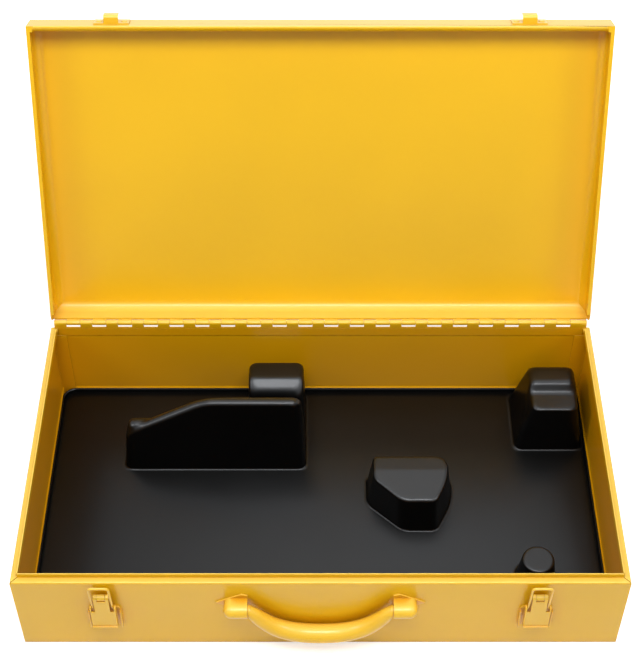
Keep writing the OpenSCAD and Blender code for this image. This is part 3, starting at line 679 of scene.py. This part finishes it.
def grip_mesh(name, grip, axis):
    """Bow grip: rings along its centre line, thicker in the middle, with a pin at each end."""
    rings, sides = 120, 48
    half, drop = grip.length / 2, grip.drop
    # Shares of the half length and of the drop that steer the bow's curve
    out_first, out_last, down_first = 0.78, 0.65, 0.42
    # How far the ends round off, over which share of a half, over which share the rings turn
    # from square to the pin to square to the bow, and how deep the pins start inside the ends
    rounding, round_share, turn_share, overlap = 0.5 * MM, 1 / 30, 1 / 5, 1 * MM
    form = bmesh.new()

    def centre(t):
        """Centre line from an end, where t is 0, to the middle."""
        return (between(half, out_first * half, out_last * half, 0, t),
            -between(0, down_first * drop, drop, drop, t))

    def tilt(t, step=0.002):
        """Slope of the centre line, held square to the pin at the very end."""
        before, after = centre(max(t - step, 0)), centre(min(t + step, 1))
        return math.atan2(before[1] - after[1], before[0] - after[0]) * min(1, t / turn_share)

    rows = []
    for k in range(rings + 1):
        share = k / rings
        side = -1 if share < 0.5 else 1
        t = 1 - abs(2 * share - 1)
        here, angle = centre(t), tilt(t)
        radius = grip.end_radius + (
            grip.middle_radius - grip.end_radius) * math.sin(math.pi / 2 * t)
        radius -= rounding * max(0, 1 - t / round_share) ** 2
        row = []
        for i in range(sides):
            u = radius * math.cos(2 * math.pi * i / sides)
            v = radius * math.sin(2 * math.pi * i / sides)
            row.append(form.verts.new((axis.x + side * (here[0] - u * math.sin(angle)),
                axis.y + v, axis.z + here[1] + u * math.cos(angle))))
        rows.append(row)
    lofted(form, rows)
    form.faces.new(rows[0][::-1])
    form.faces.new(rows[-1])
    for side in (-1, 1):
        turn = Matrix.Translation((
            axis.x + side * (half + grip.pin_length / 2 - overlap), axis.y, axis.z))
        turn = turn @ Matrix.Rotation(math.pi / 2, 4, "Y")
        bmesh.ops.create_cone(form, cap_ends=True, segments=40, radius1=grip.pin_radius,
            radius2=grip.pin_radius, depth=grip.pin_length + 2 * overlap, matrix=turn)
    bmesh.ops.recalc_face_normals(form, faces=form.faces)
    obj = from_form(name, form)
    shade(obj, 40.0)
    return obj


# Tray


def smooth_max(a, b, r):
    """Larger of two distances, with a fillet of about radius r between them."""
    h = np.maximum(r - np.abs(a - b), 0.0)
    return np.maximum(a, b) + h * h / (4.0 * r)


def smooth_min(a, b, r):
    """Smaller of two distances, with a fillet of about radius r between them."""
    h = np.maximum(r - np.abs(a - b), 0.0)
    return np.minimum(a, b) - h * h / (4.0 * r)


def side_plane(foot_a, foot_b, top):
    """Plane through two points of a hump's foot, anticlockwise, and one point of its top."""
    a = Vector((foot_a[0], foot_a[1], TRAY_FLOOR))
    b = Vector((foot_b[0], foot_b[1], TRAY_FLOOR))
    normal = (b - a).cross(Vector(top) - a).normalized()
    return tuple(normal), normal.dot(a)


def sloped(normal, point):
    """Plane across a hump's top from its normal and a point on it."""
    upright = Vector(normal).normalized()
    return tuple(upright), upright.dot(Vector(point))


def blended(planes, r, x, y, z):
    """Distance to the nearest of some planes, with fillets of about radius r between them."""
    result = None
    for (nx, ny, nz), d in planes:
        plane = nx * x + ny * y + nz * z - d
        result = plane if result is None else smooth_max(result, plane, r)
    return result


def frustum(foot, top, height, corner, crown, slopes=(), bend=1.0):
    """Distance function of a convex hump.

    The foot and top are polygons with matching sides, anticlockwise. The roundings are those of
    the upright corners, of the upper edge and between the level top and the slopes across it.
    """
    sides = []
    for i in range(len(foot)):
        j = (i + 1) % len(foot)
        middle = ((top[i][0] + top[j][0]) / 2, (top[i][1] + top[j][1]) / 2, height)
        sides.append(side_plane(foot[i], foot[j], middle))
    tops = [((0, 0, 1), height)] + list(slopes)

    def distance(x, y, z):
        return smooth_max(
            blended(sides, corner, x, y, z), blended(tops, bend, x, y, z), crown)

    return distance


def rectangle(x0, x1, y0, y1):
    """Corners of a rectangle, anticlockwise."""
    return [(x0, y0), (x1, y0), (x1, y1), (x0, y1)]


def cone(middle, foot_radius, height, taper, crown):
    """Distance function of a round hump, which narrows by the taper for each unit of height."""
    # Cosine of the side's lean, which turns a level distance into one square to the side
    lean = 0.992

    def distance(x, y, z):
        away = np.sqrt((x - middle[0]) ** 2 + (y - middle[1]) ** 2)
        side = (away - foot_radius + (z - TRAY_FLOOR) * taper) * lean
        return smooth_max(side, z - height, crown)

    return distance


def united(a, b, r):
    """Distance function of two humps that run into each other with a fillet."""
    return lambda x, y, z: smooth_min(a(x, y, z), b(x, y, z), r)


def tray_humps(corner, crown):
    """Humps of the tray in millimetres: a point inside each, and its distance function."""
    # Long ridge: two slopes down to the left and one to the back, with a knob at its low end
    ridge = united(
        frustum(rectangle(-187.5, -14.2, 43.9, 92), rectangle(-181.6, -17.6, 53.3, 62), 91,
            corner, crown,
            [sloped((-0.535, 0, 1), (-109, 0, 91)), sloped((-1.9, 0, 1), (-184.6, 0, 49)),
                sloped((-0.149, 1, 0.2), (-110, 62, 91))], 5),
        frustum(rectangle(-187, -140, 44.6, 80), rectangle(-182, -140, 52, 63), 61,
            corner, 1.6 * crown), 1.5)
    # Block behind the ridge: a ramp at its front
    block = frustum(
        rectangle(-71, -14.5, 81, 136), rectangle(-69, -16.6, 96, 129.6), 65.5, corner, crown,
        [sloped((0, -0.62, 1), (0, 106.8, 65.5)), sloped((0, 0.11, 1), (0, 106.8, 65.5))], 1.2)
    # Hump at the rear right: a low step in front of a higher one, on one foot
    foot = rectangle(189.8, 252.8, 68.5, 136)
    stepped = united(
        frustum(foot, rectangle(202, 244.8, 69.9, 125), 61, corner, 0.6 * crown),
        frustum(foot, rectangle(201.2, 243.6, 72, 119.9), 70, corner, 1.3 * crown,
            [sloped((0, -1.4, 1), (0, 98.1, 70)), sloped((0, 0.11, 1), (0, 100, 70))], 4), 3.0)
    # Wedge in the middle: a blunt point towards the front
    wedge = frustum(
        [(44.2, 32), (44.2, 2.2), (77, -27.9), (108, -27.9), (123.2, 2.4), (124.5, 26),
            (119.5, 32)],
        [(49, 26.2), (49, -1.5), (76.6, -23.2), (104.3, -23.2), (118, -3.2), (118.9, 19.5),
            (112.5, 26.2)],
        47.4, 0.65 * corner, 0.7 * crown, [sloped((0, -0.1, 1), (0, 9.6, 47.4))], 0.05)
    stud_middle = (195, -79.8)
    return [
        ((-95, 59), ridge), ((-43, 112), block), ((222, 101), stepped), ((86, 2), wedge),
        (stud_middle, cone(stud_middle, 18.2, 34, 0.128, 0.6 * crown)),
    ]


def reach_of(hump, centre, fillet, turn, rise):
    """How far the formed skin lies from a hump's centre along each direction."""
    dx, dy, dz = np.cos(turn) * np.cos(rise), np.sin(turn) * np.cos(rise), np.sin(rise)
    longest, halvings = 160.0, 34
    near, far = np.zeros_like(dx), np.full_like(dx, longest)
    for _ in range(halvings):
        mid = (near + far) / 2
        x, y, up = centre[0] + mid * dx, centre[1] + mid * dy, mid * dz
        inside = smooth_min(up, hump(x, y, up + TRAY_FLOOR), fillet) < -1e-6
        near, far = np.where(inside, mid, near), np.where(inside, far, mid)
    return np.stack(
        [centre[0] + near * dx, centre[1] + near * dy, TRAY_FLOOR + near * dz], axis=-1)


def spread(points, angles, count, bend, even=0.1):
    """Picks angles so that they crowd where the skin through the points is long or bends."""
    steps = np.diff(points, axis=-2)
    length = np.linalg.norm(steps, axis=-1) + 1e-9
    way = steps / length[..., None]
    turning = np.zeros_like(length)
    cosine = np.clip((way[..., 1:, :] * way[..., :-1, :]).sum(-1), -1, 1)
    turning[..., 1:] += np.arccos(cosine) / 2
    turning[..., :-1] += np.arccos(cosine) / 2
    weight = length / length.sum(-1, keepdims=True)
    weight = weight + bend * turning / turning.sum(-1, keepdims=True) + even / length.shape[-1]
    total = np.concatenate([np.zeros(weight.shape[:-1] + (1,)), np.cumsum(weight, -1)], -1)
    flat = total.reshape(-1, total.shape[-1])
    wanted = np.linspace(0, 1, count)
    picked = [np.interp(wanted * row[-1], row, angles) for row in flat]
    return np.array(picked).reshape(total.shape[:-1] + (count,))


def hump_skin(form, centre, hump, fillet, turns=200, rises=60):
    """Adds one closed hump, lofted in rings from its foot fillet to its crown."""
    # A first even sampling, the elevation at which the outline is read, and how strongly the
    # points crowd at bends along the outline and up the sides
    around = np.linspace(0, 2 * math.pi, 1441)
    upward = math.pi / 2 * np.linspace(0, 1, 320) ** 1.35
    outline_rise, bend_round, bend_up = 0.12, 1.6, 1.8
    outline = reach_of(hump, centre, fillet, around, np.full_like(around, outline_rise))
    around = spread(outline, around, turns + 1, bend_round)[:-1]
    turn, rise = np.meshgrid(around, upward, indexing="ij")
    rise = spread(reach_of(hump, centre, fillet, turn, rise), upward, rises, bend_up)
    turn = np.repeat(around[:, None], rises, axis=1)
    skin = reach_of(hump, centre, fillet, turn, rise)
    # The foot starts a hair over the floor, runs out level and dips into the sheet
    hair, apron, dip = 0.004, 0.5, 1.0
    skin[..., 2] += hair
    out = np.stack([np.cos(around), np.sin(around), np.zeros_like(around)], axis=-1)
    level = skin[:, 0] + apron * out
    sunk = level - np.array([0, 0, dip])
    rings = [sunk, level] + [skin[:, j] for j in range(rises - 1)]
    rows = [[form.verts.new(MM * Vector(point)) for point in ring] for ring in rings]
    top = form.verts.new(MM * Vector(skin[0, -1]))
    lofted(form, rows)
    for i in range(turns):
        form.faces.new((rows[-1][i], rows[-1][(i + 1) % turns], top))
    form.faces.new(rows[0][::-1])


def tray_outline(low, high, r):
    """Outline of the tray: a rectangle with round corners, anticlockwise."""
    steps = 12
    outline = []
    for x, y, turn in ((high[0], high[1], 0), (low[0], high[1], 90),
            (low[0], low[1], 180), (high[0], low[1], 270)):
        cx, cy = x - math.copysign(r, x), y - math.copysign(r, y)
        for k in range(steps + 1):
            angle = math.radians(turn + 90 / steps * k)
            outline.append((cx + r * math.cos(angle), cy + r * math.sin(angle)))
    return outline


def tray_sheet(form, tray, low, high):
    """Adds the tray's sheet, whose edge is turned up along the walls."""
    # Thickness of the turned edge, and the rounding of its rim and its foot
    wall, rim = 1.5 * MM, 0.5 * MM
    top = high[2] + tray.edge_rise
    outline = tray_outline(low, high, tray.corner_radius)
    rows = []
    for inset, z in ((0, low[2]), (0, top - rim), (0.3 * rim, top - 0.3 * rim), (rim, top),
            (wall - rim, top), (wall, top - rim), (wall, high[2] - 0.3 * rim),
            (wall + 0.7 * rim, high[2])):
        shrink = (high[0] - inset) / high[0], (high[1] - inset) / high[1]
        rows.append([form.verts.new((x * shrink[0], y * shrink[1], z)) for x, y in outline])
    lofted(form, rows)
    form.faces.new(rows[0][::-1])
    form.faces.new(rows[-1])


# Pieces


class MakesPiece:
    """Shared part of the operators."""

    bl_options = {"REGISTER", "UNDO"}

    @property
    def settings(self):
        return bpy.context.scene.steel_case


def corners_of(node):
    """Lowest and highest corner of a CAD node at rest."""
    low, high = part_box(node)
    return Vector(low), Vector(high)


def joint_named(name):
    """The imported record's joint of that name."""
    return next(joint for joint in frame["joints"] if joint["name"] == name)


def lid_opening():
    """Turn of the lid from shut to open."""
    joint = joint_named("lid_hinge")
    axis = Vector(joint["pos_m"])
    turn = Matrix.Rotation(-math.radians(joint["range_deg"][1]), 4, "X")
    return Matrix.Translation(axis) @ turn @ Matrix.Translation(-axis)


def folded_foot(form):
    """Adds the round inside of the base's fold, which shows between the tray and the walls."""
    high = corners_of("base_shell")[1]
    # Inset from the walls and height of each corner of its section, in millimetres
    section = ((-0.1, 1.9), (-0.1, 9.4), (0.35, 8.2), (1.1, 7.3), (1.1, 1.9))
    rings = []
    for inset, z in section:
        x, y = high.x - SHEET - inset * MM, high.y - SHEET - inset * MM
        rings.append([form.verts.new((sx * x, sy * y, z * MM))
            for sx, sy in ((1, 1), (-1, 1), (-1, -1), (1, -1))])
    bmesh.ops.recalc_face_normals(form, faces=lofted(form, rings + rings[:1]))


def rolled_flange(form):
    """Rolls the flange along the lid's front wall up into the lid."""
    opening = lid_opening()
    bmesh.ops.transform(form, matrix=opening.inverted(), verts=form.verts)
    front = min(v.co.y for v in form.verts)
    low = min(v.co.z for v in form.verts)
    side = max(v.co.x for v in form.verts)
    # Width of the flange, the strips that it is cut into, how far its inner edge and its outer
    # corner rise, the share of the width that the corner's round takes, and how far the roll
    # needs to fade out at each end
    width, strips = 5.35 * MM, 7
    rise, corner_rise, corner_share, fade = 4.0 * MM, 1.2 * MM, 0.4, 1 * MM
    turned = [f for f in form.faces if all(v.co.z < low + 1.1 * SHEET for v in f.verts)
        and abs(f.normal.z) > 0.9]
    cuts = [((0, front + width * k / strips, 0), (0, 1, 0)) for k in range(1, strips)]
    cuts += [((s * (side - width - a), 0, 0), (1, 0, 0)) for s in (-1, 1) for a in (0, fade)]
    for place, way in cuts:
        around = {v for f in turned for v in f.verts} | {e for f in turned for e in f.edges}
        cut = bmesh.ops.bisect_plane(form, geom=list(around) + turned, dist=SAME_PLACE,
            plane_co=place, plane_no=way)
        turned = [f for f in cut["geom"] if isinstance(f, bmesh.types.BMFace)]
    for v in {v for f in turned for v in f.verts}:
        t = (v.co.y - front) / width
        share = min(1.0, max(0.0, (side - width - abs(v.co.x)) / fade))
        if t < 1.01:
            v.co.z += share * (
                rise * t * t + corner_rise * max(0.0, 1 - t / corner_share) ** 2)
    bmesh.ops.transform(form, matrix=opening, verts=form.verts)


class STEELCASE_OT_materials(MakesPiece, bpy.types.Operator):
    """Make the paints and the tray's plastic"""

    bl_idname = "steelcase.materials"
    bl_label = "Materials"

    def execute(self, context):
        paint = self.settings.paint
        rolled_sheet_group()
        hollow_group()
        powder = {"roughness": 0.27, "wave": 0.10, "peel": 0.06, "specular": 0.45, "coat": 0.0}
        gloss = {"roughness": 0.29, "wave": 0.0, "peel": 0.05, "specular": 0.5, "coat": 0.08}
        painted_steel("Powder Coat", paint.shell_colour, **powder)
        painted_steel("Gloss Paint", paint.fitting_colour, **gloss)
        # The same gloss paint with the painted shade of the base's inside on all of it below
        # 0.102 m, for the hinge's base strip
        painted_steel("Hinge Paint", paint.fitting_colour, **gloss, painted_shade_top=0.102)
        formed_plastic("Formed Plastic", self.settings.tray.colour)
        return {"FINISHED"}


class STEELCASE_OT_shells(MakesPiece, bpy.types.Operator):
    """Make the base and the lid"""

    bl_idname = "steelcase.shells"
    bl_label = "Shells"

    def execute(self, context):
        radius = self.settings.paint.edge_radius
        for body, reshape in (("base", folded_foot), ("lid", rolled_flange)):
            shell = softened(body + "_painted_shell", body + "_shell", radius, reshape=reshape)
            finish_piece(shell, body, "Powder Coat", body + "_shell")
        return {"FINISHED"}


class STEELCASE_OT_hinge(MakesPiece, bpy.types.Operator):
    """Make the continuous hinge: two combed leaves, their rolled knuckles and the pin"""

    bl_idname = "steelcase.hinge"
    bl_label = "Hinge"

    def execute(self, context):
        hinge = self.settings.hinge
        axis = Vector(joint_named("lid_hinge")["pos_m"])
        low, high = corners_of("hinge_base_leaf")
        lid_spans = []
        for i in range(hinge.count):
            x = (i - (hinge.count - 1) / 2) * hinge.pitch + hinge.shift - hinge.knuckle_width / 2
            lid_spans.append((x, x + hinge.knuckle_width))
        edges = [low.x] + [x + s * hinge.gap for a, b in lid_spans for x, s in ((a, -1), (b, 1))]
        edges.append(high.x)
        base_spans = list(zip(edges[::2], edges[1::2]))
        # Gap between a leaf and its wall, and room that the lid's comb keeps to the knuckles
        leaf_gap, room = 0.02 * MM, 0.05 * MM
        # How far the base's comb is cut down below the knuckles, where its plate steps in below
        # the axis and by how much, and the reach of the lid's leaf from the axis
        slot, step_depth, step_inset, lid_reach = 1.4 * MM, 5.9 * MM, 2.9 * MM, 13 * MM
        leaf_y = low.y + leaf_gap
        swing = hinge.radius + room
        step = axis.z - step_depth
        plates = [
            comb("base_leaf_foot", [], low.z, step, step,
                (low.x + step_inset, high.x - step_inset), leaf_y, hinge.leaf),
            comb("base_leaf_plate", base_spans, step, axis.z, axis.z - hinge.radius - slot,
                (low.x, high.x), leaf_y, hinge.leaf)]
        sweep = math.radians(360) - hinge.seam
        strip = joined("hinge_base_strip", plates + self.rolled("base", base_spans, axis, -sweep))
        # The base strip takes the gloss paint with painted shade of the base's inside
        finish_piece(strip, "base", "Hinge Paint", "hinge_base_leaf")
        plate = comb("lid_leaf_plate", [(-b, -a) for a, b in reversed(lid_spans)],
            -axis.z - lid_reach, -axis.z, -axis.z - swing, (low.x, high.x), leaf_y, hinge.leaf)
        plate.data.transform(Matrix.Rotation(math.pi, 4, "Y"))
        strip = joined("hinge_lid_strip", [plate] + self.rolled("lid", lid_spans, axis, sweep))
        strip.data.transform(lid_opening())
        finish_piece(strip, "lid", "Gloss Paint", "hinge_lid_leaf")
        pin = softened("hinge_pin_wire", "hinge_pin", 0.3 * MM)
        finish_piece(pin, "base", "Gloss Paint", "hinge_pin")
        return {"FINISHED"}

    def rolled(self, name, spans, axis, sweep, wall=0.86 * MM):
        """Rolled knuckles over the spans, those of one width in one row."""
        hinge = self.settings.hinge
        tree = bpy.data.node_groups.get("Rolled Knuckles") or knuckle_tree()
        rows = {}
        for a, b in spans:
            rows.setdefault(round((b - a) / MM, 3), []).append((a + b) / 2)
        made = []
        for width, middles in rows.items():
            row = grown(name + "_knuckles", tree, {
                "Count": len(middles), "Start": (middles[0], axis.y, axis.z),
                "Pitch": hinge.pitch, "Width": width * MM, "Radius": hinge.radius,
                "Wall": wall, "Start Angle": math.pi, "Sweep": sweep})
            shade(row, 40.0)
            made.append(row)
        return made


class STEELCASE_OT_latches(MakesPiece, bpy.types.Operator):
    """Make the latches and strikes: folded plates, levers, wire loops, pins and rivets"""

    bl_idname = "steelcase.latches"
    bl_label = "Latches"

    def execute(self, context):
        latch = self.settings.latch
        radius = self.settings.paint.edge_radius
        pin_edge, wire_bend = 0.2 * MM, 2.6 * MM
        wires = wire_tree()
        for side in ("left", "right"):
            for name, node, body, soft in (
                    ("latch_plate_folded_", "latch_plate_", "base", radius),
                    ("latch_lever_folded_", "latch_lever_", "lever_" + side, radius),
                    ("latch_pin_wire_", "latch_pin_", "base", pin_edge),
                    ("strike_hook_", "strike_", "lid", radius)):
                obj = softened(name + side, node + side, soft, segments=3)
                finish_piece(obj, body, "Gloss Paint", node + side)
            loop = grown("latch_loop_wire_" + side, wires, {
                "Arm": latch.loop_width / 2 + latch.wire_radius, "Foot": latch.lever_width / 2,
                "Length": latch.loop_length, "Bend": wire_bend, "Wire Radius": latch.wire_radius})
            pivot = joint_named("loop_%s_pivot" % side)["pos_m"]
            loop.data.transform(Matrix.Translation(pivot)
                @ Matrix.Rotation(latch.loop_lean, 4, "X"))
            shade(loop, 60.0)
            finish_piece(loop, "loop_" + side, "Gloss Paint", "latch_loop_" + side)
            self.rivets("latch_rivet_heads_" + side, "latch_rivets_" + side, "base", (0, 0, 1))
        self.rivets("strike_rivet_heads", "strike_rivets", "lid", (1, 0, 0))
        return {"FINISHED"}

    def rivets(self, name, node, body, along):
        """Domed heads in place of a node's rivets, in pairs along one direction."""
        latch = self.settings.latch
        tree = bpy.data.node_groups.get("Domed Rivets") or rivet_tree()
        back = lid_opening().inverted() if body == "lid" else Matrix.Identity(4)
        points = [back @ v.co for v in frame["nodes"][node].data.vertices]
        sides = (-1, 1) if min(p.x for p in points) * max(p.x for p in points) < 0 else (0,)
        made = []
        for side in sides:
            near = [p for p in points if not side or p.x * side > 0]
            low = Vector([min(p[i] for p in near) for i in range(3)])
            high = Vector([max(p[i] for p in near) for i in range(3)])
            r = latch.rivet_radius
            inner = Vector((low.x + r, low.y + latch.rivet_height, low.z + r))
            span = high - low - Vector((2 * r, 0, 2 * r))
            step = Vector([span[i] * along[i] for i in range(3)])
            through = high.y - low.y - 2 * latch.rivet_height
            made.append(grown(name + "_row", tree, {
                "Start": inner, "Step": step, "Through": (0, through, 0), "Radius": r,
                "Height": latch.rivet_height}))
        heads = joined(name, made)
        heads.data.transform(back.inverted())
        shade(heads, 60.0)
        finish_piece(heads, body, "Gloss Paint", node)


class STEELCASE_OT_handle(MakesPiece, bpy.types.Operator):
    """Make the bow grip and its brackets"""

    bl_idname = "steelcase.handle"
    bl_label = "Handle"

    def execute(self, context):
        axis = Vector(joint_named("handle_pivot")["pos_m"])
        obj = grip_mesh("handle_bow_grip", self.settings.grip, axis)
        finish_piece(obj, "handle", "Gloss Paint", "handle_grip")
        for side in ("left", "right"):
            node = "handle_bracket_" + side
            obj = softened("handle_drum_" + side, node, 0.35 * MM, segments=3)
            finish_piece(obj, "base", "Gloss Paint", node)
        return {"FINISHED"}


class STEELCASE_OT_tray(MakesPiece, bpy.types.Operator):
    """Make the formed tray: one sheet with a turned edge and five humps"""

    bl_idname = "steelcase.tray"
    bl_label = "Tray"

    def execute(self, context):
        tray = self.settings.tray
        low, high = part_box("tray_insert")
        form = bmesh.new()
        tray_sheet(form, tray, low, high)
        for centre, hump in tray_humps(tray.upright / MM, tray.crown / MM):
            hump_skin(form, centre, hump, tray.foot_fillet / MM)
        obj = from_form("tray_formed_sheet", form)
        shade(obj, 40.0)
        finish_piece(obj, "base", "Formed Plastic",
            "tray_insert", "tray_ridge", "tray_block", "tray_corner", "tray_wedge", "tray_stud")
        return {"FINISHED"}


class STEELCASE_OT_stage(MakesPiece, bpy.types.Operator):
    """Make the floor, the lights and the camera"""

    bl_idname = "steelcase.stage"
    bl_label = "Stage"

    def execute(self, context):
        stage = self.settings.stage
        scene = context.scene
        scene.view_settings.view_transform = "Standard"
        camera_data = bpy.data.cameras.new("Camera")
        camera_data.lens = stage.lens
        camera = bpy.data.objects.new("Camera", camera_data)
        camera.location = stage.camera_place
        camera.rotation_euler = (math.pi / 2 - stage.camera_tilt, 0, 0)
        scene.collection.objects.link(camera)
        scene.camera = camera
        self.floor()
        self.world(scene, stage)
        self.lights(scene, stage)
        return {"FINISHED"}

    def floor(self):
        """Pale floor that takes the shadow and glows white towards its far edge."""
        half_width, drop = 3.0, 0.5 * MM
        form = bmesh.new()
        bmesh.ops.create_grid(form, x_segments=2, y_segments=2, size=half_width)
        floor = from_form("floor", form)
        floor.data.transform(Matrix.Translation((0, 0, -drop)))
        material, tree, shader = new_material("Floor")
        place = shader_node(tree, "ShaderNodeTexCoord")
        away = shader_node(tree, "ShaderNodeVectorMath", {0: place.outputs["Object"]},
            operation="LENGTH")
        # Its glow near the case, and the distances between which it grows to full white
        near_glow, near, far = 0.58, 0.45, 1.2
        glow = computed(tree, "MULTIPLY", white_rays(tree),
            ranged(tree, away.outputs["Value"], near, far, near_glow, 1.0))
        feed(tree, shader, {
            "Base Color": (0.8, 0.8, 0.8, 1), "Roughness": 0.9,
            "Emission Color": (1, 1, 1, 1), "Emission Strength": glow})
        floor.data.materials.append(material)

    def world(self, scene, stage):
        """Even light, and plain white for the rays that see the background."""
        world = bpy.data.worlds.new("Studio")
        scene.world = world
        world.use_nodes = True
        tree = world.node_tree
        strength = shader_node(tree, "ShaderNodeMix", {
            "Factor": white_rays(tree), "A": stage.world_strength, "B": 1.0})
        feed(tree, tree.nodes["Background"], {
            "Color": (1, 1, 1, 1), "Strength": strength.outputs[0]})

    def lights(self, scene, stage):
        """Soft lamps: name, place, aim, size and power."""
        for name, place, aim, size, power in (
                ("Top", (0, 0.5, 1.6), (0, 0.1, 0), (1.2, 0.8), stage.top_power),
                ("Left", (-1.15, -0.35, 1.1), (0, 0, 0.1), (0.5, 0.5), stage.side_power),
                ("Right", (1.15, -0.35, 1.1), (0, 0, 0.1), (0.5, 0.5), stage.side_power),
                ("Front", (0, -0.6, 1.65), (0, 0, 0.1), (1.1, 0.5), stage.front_power),
                ("Back", (0, 1.6, 1.0), (0, 0.2, 0.2), (1.2, 0.6), stage.back_power)):
            data = bpy.data.lights.new(name, "AREA")
            data.shape = "RECTANGLE"
            data.size, data.size_y = size
            data.energy = power
            lamp = bpy.data.objects.new(name, data)
            lamp.location = place
            view = Vector(aim) - Vector(place)
            lamp.rotation_euler = view.to_track_quat("-Z", "Y").to_euler()
            scene.collection.objects.link(lamp)


class STEELCASE_PT_panel(bpy.types.Panel):
    """Lists the case's pieces"""

    bl_label = "Steel Case"
    bl_idname = "STEELCASE_PT_panel"
    bl_space_type = "VIEW_3D"
    bl_region_type = "UI"
    bl_category = "Steel Case"

    def draw(self, context):
        for operator in OPERATORS:
            self.layout.operator(operator.bl_idname)
        settings = context.scene.steel_case
        for group in (settings.paint, settings.hinge, settings.latch, settings.grip,
                settings.tray, settings.stage):
            box = self.layout.box()
            for name in group.bl_rna.properties.keys():
                if name not in ("rna_type", "name"):
                    box.prop(group, name)


OPERATORS = (
    STEELCASE_OT_materials, STEELCASE_OT_shells, STEELCASE_OT_hinge, STEELCASE_OT_latches,
    STEELCASE_OT_handle, STEELCASE_OT_tray, STEELCASE_OT_stage,
)
CLASSES = (
    PaintSettings, HingeSettings, LatchSettings, GripSettings, TraySettings, StageSettings,
    CaseSettings,
) + OPERATORS + (STEELCASE_PT_panel,)


def register():
    for cls in CLASSES:
        bpy.utils.register_class(cls)
    bpy.types.Scene.steel_case = PointerProperty(type=CaseSettings)


def unregister():
    del bpy.types.Scene.steel_case
    for cls in reversed(CLASSES):
        bpy.utils.unregister_class(cls)


def main():
    """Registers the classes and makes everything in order."""
    register()
    bpy.ops.steelcase.materials()
    bpy.ops.steelcase.shells()
    bpy.ops.steelcase.hinge()
    bpy.ops.steelcase.latches()
    bpy.ops.steelcase.handle()
    bpy.ops.steelcase.tray()
    bpy.ops.steelcase.stage()


if __name__ == "__main__":
    main()
